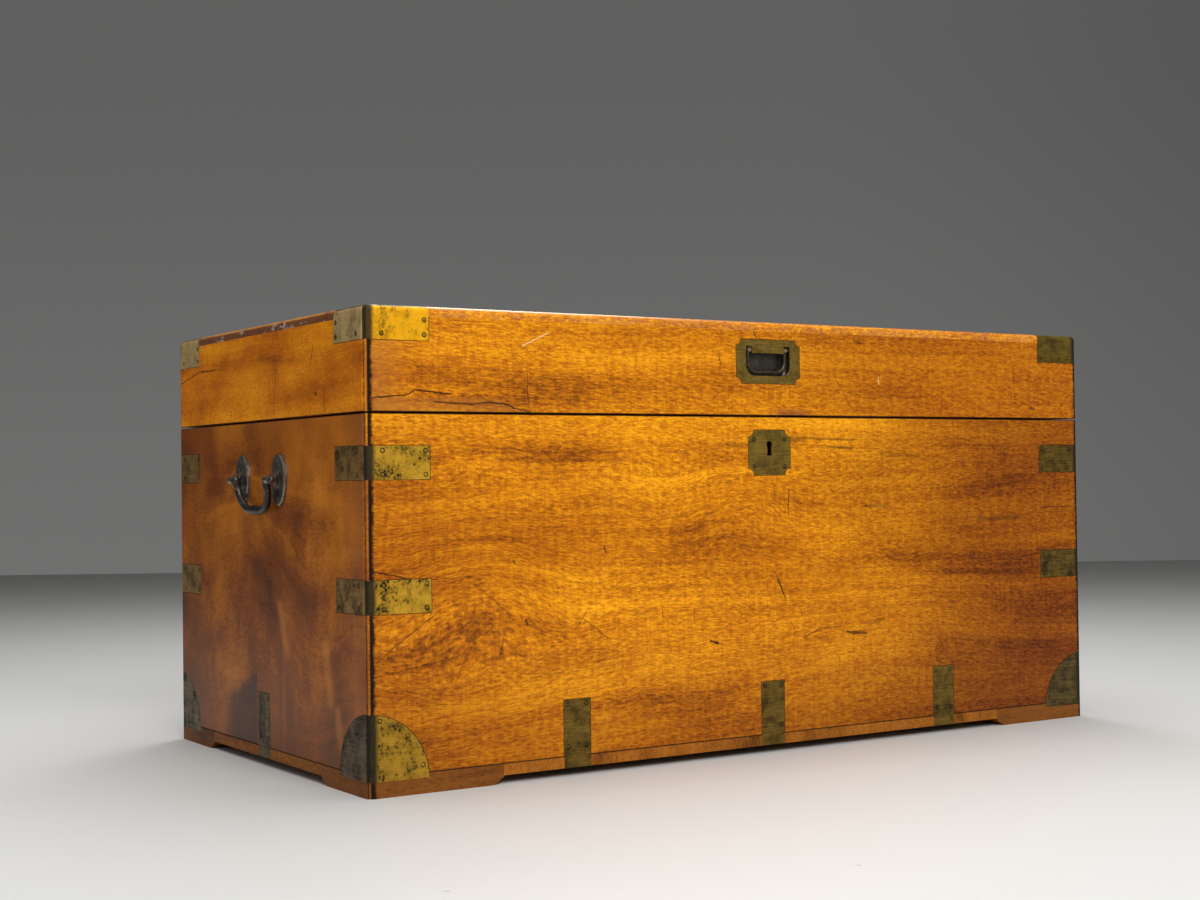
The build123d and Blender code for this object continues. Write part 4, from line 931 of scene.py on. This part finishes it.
@dataclass(frozen=True)
class Camera:
    """The photograph's camera, solved from the trunk's corners.

    Args:
        offset: Camera's place from the trunk's near lower front corner, in metres.
        yaw: Degrees from +Y towards +X.
        pitch: Degrees upwards.
        roll: Degrees.
        focal_pixels: Focal length in pixels of the photograph.
        sensor: Width of the sensor, in millimetres.
    """

    offset: Point = (-0.7660, -1.6190, 0.3138)
    yaw: float = 32.794
    pitch: float = 0.949
    roll: float = -0.736
    focal_pixels: float = 1790.9
    sensor: float = 36.0

    def directions(self) -> tuple[Vector, Vector, Vector]:
        """Give the camera's right, up and forward directions."""
        yaw, pitch, roll = (math.radians(angle) for angle in (self.yaw, self.pitch, self.roll))
        forward = Vector((math.sin(yaw) * math.cos(pitch), math.cos(yaw) * math.cos(pitch), math.sin(pitch)))
        level = Vector((math.cos(yaw), -math.sin(yaw), 0.0))
        upright = level.cross(forward)
        right = level * math.cos(roll) + upright * math.sin(roll)
        up = upright * math.cos(roll) - level * math.sin(roll)
        return right, up, forward

    def build(self, corner: Vector) -> bpy.types.Object:
        """Make the camera and set it as the scene's camera.

        Args:
            corner: The trunk's near lower front corner.

        Returns:
            The camera object.
        """
        data = bpy.data.cameras.new("camera")
        data.sensor_width = self.sensor
        data.lens = self.focal_pixels * self.sensor / PHOTO_WIDTH
        right, up, forward = self.directions()
        camera = bpy.data.objects.new("camera", data)
        bpy.context.scene.collection.objects.link(camera)
        rotation = Matrix((right, up, -forward)).transposed()
        camera.matrix_world = Matrix.Translation(corner + Vector(self.offset)) @ rotation.to_4x4()
        bpy.context.scene.camera = camera
        return camera


@dataclass
class Studio:
    """Floor, wall, lamps and world.

    Args:
        camera: The camera's settings.
        wall_distance: From the camera to the wall, in metres.
        reach: Half the width of the floor and the wall, in metres.
        floor_line: From the camera to the faint line across the floor, in metres.
    """

    camera: Camera
    wall_distance: float = 6.4
    reach: float = 14.0
    floor_line: float = 2.63

    def build(self) -> None:
        """Make the whole stage."""
        self.floor()
        self.wall()
        self.lamps()
        self.world()
        bpy.context.scene.view_settings.view_transform = "Standard"

    def sheet(self, name: str, corners: Sequence[Vector], material: bpy.types.Material) -> bpy.types.Object:
        """Make one flat stage piece."""
        mesh = bpy.data.meshes.new(name)
        mesh.from_pydata([tuple(corner) for corner in corners], [], [tuple(range(len(corners)))])
        piece = bpy.data.objects.new(name, mesh)
        piece.data.materials.append(material)
        bpy.context.scene.collection.objects.link(piece)
        return piece

    def floor(self) -> None:
        """A pale, slightly glossy floor, greyed towards the wall by painted shade that grows with distance
        from the camera.
        """
        graph = Graph("pale_floor")
        x, y, _ = graph.place()
        heading = self.camera.directions()[2]
        start = TRUNK.low + Vector(self.camera.offset)
        depth = (x - start.x) * heading.x + (y - start.y) * heading.y
        mottle = graph.noise(x * 5.0, y * 5.0, 1.0, 4.0)
        specks = graph.cells(x * 7.0, y * 7.0, 2.0).step(0.030, 0.012)
        # Painted shade: the floor darkens with distance along the camera's heading.
        far = depth.step(1.3, 6.2)
        colour = graph.mix(far, (0.62, 0.62, 0.605), (0.25, 0.25, 0.248))
        colour = graph.mix(mottle * 0.12, colour, (0.5, 0.5, 0.49))
        seam = abs(depth - self.floor_line).step(0.006, 0.002)
        colour = graph.mix(seam * 0.16, colour, (0.75, 0.75, 0.74))
        colour = graph.mix(specks * 0.35, colour, (0.22, 0.21, 0.20))
        material = graph.principled({"Base Color": colour, "Roughness": 0.45 + mottle * 0.1,
                                     "Specular IOR Level": 0.30})
        reach = self.reach
        turns = ((-1, -1), (1, -1), (1, 1), (-1, 1))
        corners = [Vector((across * reach, along * reach, 0.0)) for across, along in turns]
        self.sheet("floor", corners, material)

    def wall(self) -> None:
        """A grey wall behind the trunk, square to the camera's heading; the camera sees a painted glow on it,
        lighter towards the floor and darker to one side.
        """
        heading = self.camera.directions()[2].copy()
        heading.z = 0.0
        heading.normalize()
        aside = Vector((heading.y, -heading.x, 0.0))
        foot = TRUNK.low + Vector(self.camera.offset) + heading * self.wall_distance
        foot.z = 0.0
        graph = Graph("grey_wall")
        x, y, z = graph.place()
        across = (x - foot.x) * aside.x + (y - foot.y) * aside.y
        # Painted light: the camera sees this glow, not the lit wall.
        glow = graph.mix(z.step(2.0, -0.4), (0.115, 0.115, 0.113), (0.165, 0.165, 0.162))
        glow = graph.mix(across.step(0.6, 2.8) * 0.35, glow, (0.045, 0.045, 0.045))
        plain = graph.node("ShaderNodeBsdfDiffuse", None, {"Color": (0.16, 0.16, 0.16)})
        seen = graph.node("ShaderNodeEmission", None, {"Color": glow, "Strength": 1.0})
        rise = Vector((0.0, 0.0, 6.0))
        left, right = foot - aside * self.reach, foot + aside * self.reach
        corners = [left, right, right + rise, left + rise]
        self.sheet("wall", corners, graph.by_ray(plain, seen))

    def lamp(self, name: str, place: Point, target: Point, size: float, power: float) -> None:
        """Make one soft square lamp that faces a target."""
        data = bpy.data.lights.new(name, "AREA")
        data.size = size
        data.energy = power
        lamp = bpy.data.objects.new(name, data)
        lamp.location = place
        lamp.rotation_euler = (Vector(target) - Vector(place)).to_track_quat("-Z", "Y").to_euler()
        bpy.context.scene.collection.objects.link(lamp)

    def lamps(self) -> None:
        """A large key from the front and above, an overhead lamp, and one from behind for the edges."""
        self.lamp("key_lamp", (-0.9, -2.9, 2.3), (-0.1, -0.2, 0.25), 1.8, 92.0)
        self.lamp("top_lamp", (0.2, 0.2, 2.8), (0.0, 0.0, 0.0), 2.2, 55.0)
        self.lamp("back_lamp", (0.75, 1.15, 2.05), (-0.2, -0.2, 0.45), 0.8, 16.0)

    def world(self) -> None:
        """An even pale sky, seen as grey by the camera."""
        graph = Graph("studio_world", for_world=True)
        light = graph.node("ShaderNodeBackground", None, {"Color": (1.0, 0.99, 0.97), "Strength": 0.38})
        seen = graph.node("ShaderNodeBackground", None, {"Color": (0.14, 0.14, 0.14), "Strength": 1.0})
        bpy.context.scene.world = graph.by_ray(light, seen)


# Sub-assemblies

def node(name: str) -> bpy.types.Object:
    """Give a CAD node's object."""
    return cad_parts[name]


def dress(names: Iterable[str], material: bpy.types.Material, bevel: float = 0.0) -> None:
    """Give CAD nodes a material, and soften their edges where a width is given.

    Args:
        names: The nodes.
        material: Their finish.
        bevel: Width of the softened edge, in metres.
    """
    for name in names:
        piece = node(name)
        piece.data.materials.clear()
        piece.data.materials.append(material)
        if bevel:
            softened = piece.modifiers.new("soft_edges", "BEVEL")
            softened.width = bevel
            softened.segments = 2
            softened.limit_method = "ANGLE"
            softened.angle_limit = math.radians(40)
            softened.harden_normals = False
        LOG.info("dressed %s", name)


def corner_inlays(half: float) -> list[Inlay]:
    """The straps and the quarter-round plate at one upright edge of a body board.

    Args:
        half: Half the board's length.

    Returns:
        The inlays, mirrored by the material to the other edge.
    """
    reach = half - STRAP_WING / 2
    past_edge = 20 * MM
    half_size = (STRAP_WING / 2 + past_edge, STRAP_HALF_HEIGHT)
    straps = [Panel((reach + past_edge, low + STRAP_HALF_HEIGHT), half_size) for low in STRAP_LOWS]
    return straps + [Disc((half, LOWER_PLATE_LOW), LOWER_PLATE_RADIUS)]


def islands(piece: bpy.types.Object) -> list[tuple[Vector, Vector]]:
    """Give the box of every loose part of a mesh.

    Args:
        piece: The object.

    Returns:
        The lowest and highest corner of each part.
    """
    mesh = bmesh.new()
    mesh.from_mesh(piece.data)
    left = set(mesh.verts)
    boxes = []
    while left:
        stack = [left.pop()]
        places = []
        while stack:
            vertex = stack.pop()
            places.append(vertex.co.copy())
            for edge in vertex.link_edges:
                other = edge.other_vert(vertex)
                if other in left:
                    left.remove(other)
                    stack.append(other)
        low = Vector(min(place[axis] for place in places) for axis in range(3))
        high = Vector(max(place[axis] for place in places) for axis in range(3))
        boxes.append((low, high))
    mesh.free()
    return sorted(boxes, key=lambda box: tuple(box[0]))


@dataclass
class Case:
    """The wooden body, its base and feet.

    Args:
        strap_half: Half the size of an upright strap of the base, in metres.
        strap_middle: Height of its middle.
        strap_spacing: Distance between the straps of the front and back.
    """

    strap_half: tuple[float, float] = (0.0165, 0.036)
    strap_middle: float = 0.045
    strap_spacing: float = 0.264

    def base_inlays(self, places: Sequence[float]) -> list[Panel]:
        """The upright straps of the base at their distances from the middle."""
        return [Panel((place, self.strap_middle), self.strap_half) for place in places]

    def front(self) -> CamphorWood:
        """The front board's finish, with the figure and marks of the photographed board."""
        escutcheon = Panel((0.0, 0.34225), (0.0302, 0.02565), 0.008)
        inlays = [*corner_inlays(TRUNK.half_width), *self.base_inlays((0.0, self.strap_spacing)), escutcheon]
        eddies = (
            Eddy((-0.38, 0.195), (0.15, 0.10), 0.030),
            Eddy((-0.13, 0.305), (0.12, 0.07), -0.012),
            Eddy((-0.06, 0.285), (0.11, 0.06), 0.014),
            Eddy((-0.42, 0.080), (0.30, 0.14), -0.020),
            Eddy((0.22, 0.130), (0.26, 0.10), 0.016),
        )
        return FrontWood("front_camphor", Grain.LONG_UPRIGHT, seed=3.0, wave=0.030, eddies=eddies,
                         inlays=inlays, marks=FRONT_MARKS)

    def end(self) -> CamphorWood:
        """The end boards' finish."""
        inlays = [*corner_inlays(TRUNK.half_depth), *self.base_inlays((0.0,))]
        eddies = (
            Eddy((0.05, 0.25), (0.16, 0.12), 0.05),
            Eddy((-0.14, 0.16), (0.12, 0.16), -0.05),
        )
        return EndWood("end_camphor", Grain.END_UPRIGHT, (0.56, 0.180, 0.008), (0.23, 0.058, 0.003),
                       (0.042, 0.010, 0.002), band=0.35, fleck=0.30, streak=0.10, mottle=1.6,
                       blotch=(9.0, 7.0), cloud=0.75, seed=8.0, wave=0.09, coat=0.16, eddies=eddies,
                       inlays=inlays, glints=END_GLINTS, glint=(0.60, 0.22, 0.035))

    def build(self) -> None:
        """Dress the boards."""
        back_inlays = [*corner_inlays(TRUNK.half_width), *self.base_inlays((0.0, self.strap_spacing))]
        back = CamphorWood("back_camphor", Grain.LONG_UPRIGHT, *BACK_COLOURS, seed=17.0, cloud=0.6,
                           inlays=back_inlays)
        base = CamphorWood("base_camphor", Grain.END_FLAT, (0.46, 0.165, 0.016), (0.27, 0.085, 0.008),
                           (0.070, 0.022, 0.004), seed=21.0, coat=0.0, fleck=0.5)
        foot = CamphorWood("foot_camphor", Grain.LONG_UPRIGHT, (0.27, 0.094, 0.014), (0.16, 0.051, 0.008),
                           (0.036, 0.012, 0.004), seed=5.0, coat=0.0, fleck=0.4)
        dress(["front_board"], self.front().material())
        dress(["back_board"], back.material())
        dress(["left_board", "right_board"], self.end().material())
        dress(["base_board_left", "base_board_middle", "base_board_right"], base.material())
        dress([f"foot_{place}" for place in ("front_left", "front_right", "back_left", "back_right")],
              foot.material())


@dataclass
class Lid:
    """The wooden lid."""

    def inlays(self, half: float) -> list[Inlay]:
        """The corner plate's wing at one upright edge of a lid board."""
        return [Panel((half - 0.026, 0.482), (0.046, 0.025))]

    def build(self) -> None:
        """Dress the boards."""
        handle = Panel((0.0, 0.4463), (0.0457, 0.025), 0.007)
        front = LidFrontWood("lid_front_camphor", Grain.LONG_UPRIGHT, seed=12.0, wave=0.022,
                             inlays=[*self.inlays(TRUNK.half_width), handle], marks=LID_FRONT_MARKS,
                             glints=LID_FRONT_GLINTS)
        back = CamphorWood("lid_back_camphor", Grain.LONG_UPRIGHT, *BACK_COLOURS, seed=14.0, cloud=0.5,
                           inlays=self.inlays(TRUNK.half_width))
        end = EndWood("lid_end_camphor", Grain.END_UPRIGHT, (0.98, 0.37, 0.006), (0.60, 0.165, 0.001),
                      (0.18, 0.036, 0.001), band=0.6, fleck=0.30, streak=0.15, mottle=1.2,
                      blotch=(7.0, 9.0), cloud=0.4, seed=30.0, wave=0.05, haze=0.0, coat=0.16,
                      inlays=self.inlays(TRUNK.half_depth), marks=LID_END_MARKS)
        top = LidTopWood("lid_top_camphor", Grain.LONG_FLAT, seed=40.0, wave=0.04, coat=0.8)
        dress(["lid_front_board"], front.material())
        dress(["lid_back_board"], back.material())
        dress(["lid_left_board", "lid_right_board"], end.material())
        dress(["lid_top_board"], top.material())


@dataclass
class Brass:
    """Straps, corner plates, nails, escutcheon and the sunk handle's plate.

    Args:
        corners: Ends of the corner plates' names.
        proud: How far the nail heads stand off the plates, in metres.
        ring: Inner and outer radius of the dark ring round a nail head, in metres.
        steps: Corners of a dark ring.
        unevenness: How far a ring's radius varies.
    """

    corners: Sequence[str] = ("front_left", "front_right", "back_left", "back_right")
    proud: float = 0.6 * MM
    ring: tuple[float, float] = (1.75 * MM, 2.55 * MM)
    steps: int = 20
    unevenness: float = 0.16

    def build(self) -> None:
        """Dress the brass that is let into the wood, and lay dark rings of soiling and painted shade round
        its nails.
        """
        # Each brass has near, other and end-face colours: these paint the light on those faces as well as the
        # tarnish.
        olive = (0.105, 0.064, 0.010)
        strap = AgedBrass("strap_brass", (0.50, 0.270, 0.018), olive, (0.230, 0.125, 0.034), 1.0,
                          0.95).material()
        plate = AgedBrass("plate_brass", (0.38, 0.205, 0.016), (0.072, 0.050, 0.016), (0.075, 0.052, 0.030),
                          1.0, 0.95).material()
        lid = AgedBrass("lid_corner_brass", (0.95, 0.440, 0.006), (0.125, 0.082, 0.012), (0.66, 0.450, 0.190),
                        0.55, 0.70, 0.55).material()
        front = AgedBrass("front_plate_brass", (0.16, 0.100, 0.016), (0.16, 0.100, 0.016), (0.16, 0.1, 0.016),
                          0.5, 0.6).material()
        base = AgedBrass("base_strap_brass", (0.150, 0.086, 0.013), (0.125, 0.074, 0.012),
                         (0.080, 0.052, 0.022), 0.5).material()
        nails = AgedBrass("nail_brass", (0.34, 0.20, 0.022), (0.10, 0.062, 0.011), (0.14, 0.085, 0.025),
                          0.5).material()
        edge = 0.35 * MM
        dress(["upper_corner_straps", "middle_corner_straps"], strap, edge)
        dress(["base_straps", "end_base_straps"], base, edge)
        dress([f"lower_corner_plate_{corner}" for corner in self.corners], plate, edge)
        dress([f"lid_corner_{corner}" for corner in self.corners], lid, edge)
        dress(["escutcheon", "lid_handle_plate"], front, edge)
        dress(["body_brass_nails", "lid_brass_nails", "escutcheon_pins"], nails)
        # Dark rings round the proud nail heads: painted shade, with soiling.
        shade_and_grime = ShadeAndGrime("nail_shade_and_grime").material()
        bodies = {"body_brass_nails": "case", "escutcheon_pins": "case", "lid_brass_nails": "lid"}
        for name, body in bodies.items():
            self.shade_and_dirt_rings(name, body, shade_and_grime)

    def shade_and_dirt_rings(self, name: str, body: str, shade_and_grime: bpy.types.Material) -> None:
        """Lay a thin uneven dark ring of soiling and painted shade round every nail of a node.

        Args:
            name: The nails' node.
            body: The body that the rings ride on.
            shade_and_grime: Their finish.
        """
        mesh = bmesh.new()
        for count, (low, high) in enumerate(islands(node(name))):
            self.add_ring(mesh, low, high, count)
        data = bpy.data.meshes.new(f"{name}_dirt")
        mesh.to_mesh(data)
        mesh.free()
        piece = bpy.data.objects.new(f"{name}_dirt", data)
        piece.data.materials.append(shade_and_grime)
        bpy.context.scene.collection.objects.link(piece)
        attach(piece, body)
        LOG.info("laid dirt round %s", name)

    def add_ring(self, mesh: bmesh.types.BMesh, low: Vector, high: Vector, seed: int) -> None:
        """Add one ring just above the plate round a nail.

        Args:
            mesh: Mesh that the ring is added to.
            low: Lowest corner of the nail's box.
            high: Highest corner of the nail's box.
            seed: Picks the ring's outline.
        """
        size = high - low
        middle = (low + high) / 2
        across = sorted(range(3), key=lambda axis: abs(size[axis] - sorted(size)[1]))[:2]
        axis = ({0, 1, 2} - set(across)).pop()
        sign = 1.0 if axis == 2 or middle[axis] > 0 else -1.0
        head = high[axis] if sign > 0 else low[axis]
        base = head - sign * self.proud * 0.75
        rows = []
        for radius in self.ring:
            row = []
            for step in range(self.steps):
                turn = 2 * math.pi * step / self.steps
                sample = Vector((math.cos(turn), math.sin(turn), seed * 1.7))
                shaken = radius * (1.0 + self.unevenness * noise.noise(sample))
                place = middle.copy()
                place[axis] = base
                place[across[0]] += shaken * math.cos(turn)
                place[across[1]] += shaken * math.sin(turn)
                row.append(mesh.verts.new(place))
            rows.append(row)
        for step in range(self.steps):
            after = (step + 1) % self.steps
            mesh.faces.new((rows[0][step], rows[0][after], rows[1][after], rows[1][step]))


@dataclass
class Handles:
    """The sunk handle and the two drop handles."""

    def build(self) -> None:
        """Dress the handles."""
        bronze = DarkBronze("dark_bronze").material()
        smooth = DarkBronze("rubbed_bronze", (0.034, 0.028, 0.023), (0.36, 0.31, 0.26), 0.15).material()
        cup = DarkBronze("cup_bronze", (0.055, 0.050, 0.040), (0.16, 0.15, 0.125), 0.15).material()
        gilt = DarkBronze("flush_bail_brass", (0.060, 0.042, 0.022), (0.34, 0.24, 0.13), 0.15).material()
        dress(["lid_handle_cup"], cup)
        dress(["lid_handle_bail", "lid_handle_pivots", "lid_handle_screws"], gilt)
        sides = ("left", "right")
        dress([f"{side}_handle_{end}_plate" for side in sides for end in ("front", "back")], bronze)
        dress(["left_handle_bail", "right_handle_bail", "end_handle_screws"], smooth)


@dataclass
class Fittings:
    """Hinges, lock and hidden fasteners."""

    def build(self) -> None:
        """Dress the fittings."""
        brass = PlainMetal("fitting_brass", (0.50, 0.34, 0.10), (0.16, 0.10, 0.035)).material()
        iron = PlainMetal("fitting_iron", (0.24, 0.22, 0.20), (0.10, 0.06, 0.04)).material()
        leaves = [f"{side}_hinge_{part}_leaf" for side in ("left", "right") for part in ("body", "lid")]
        lock = [f"lock_{part}" for part in ("case", "plate", "bolt", "key_pin", "ward")]
        screws = [f"{place}_screws" for place in ("foot", "body", "lid")]
        dress([*leaves, *lock, "link_plate"], brass)
        dress(["lock_bolt_spring", "hinge_pins", "base_nails", *screws], iron)


def main() -> None:
    """Build the stage and dress every sub-assembly in order."""
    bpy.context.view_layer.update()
    camera = Camera()
    camera.build(TRUNK.low)
    Studio(camera).build()
    for part in (Case(), Lid(), Brass(), Handles(), Fittings()):
        part.build()
        LOG.info("%s is dressed", type(part).__name__)


if __name__ == "__main__":
    main()
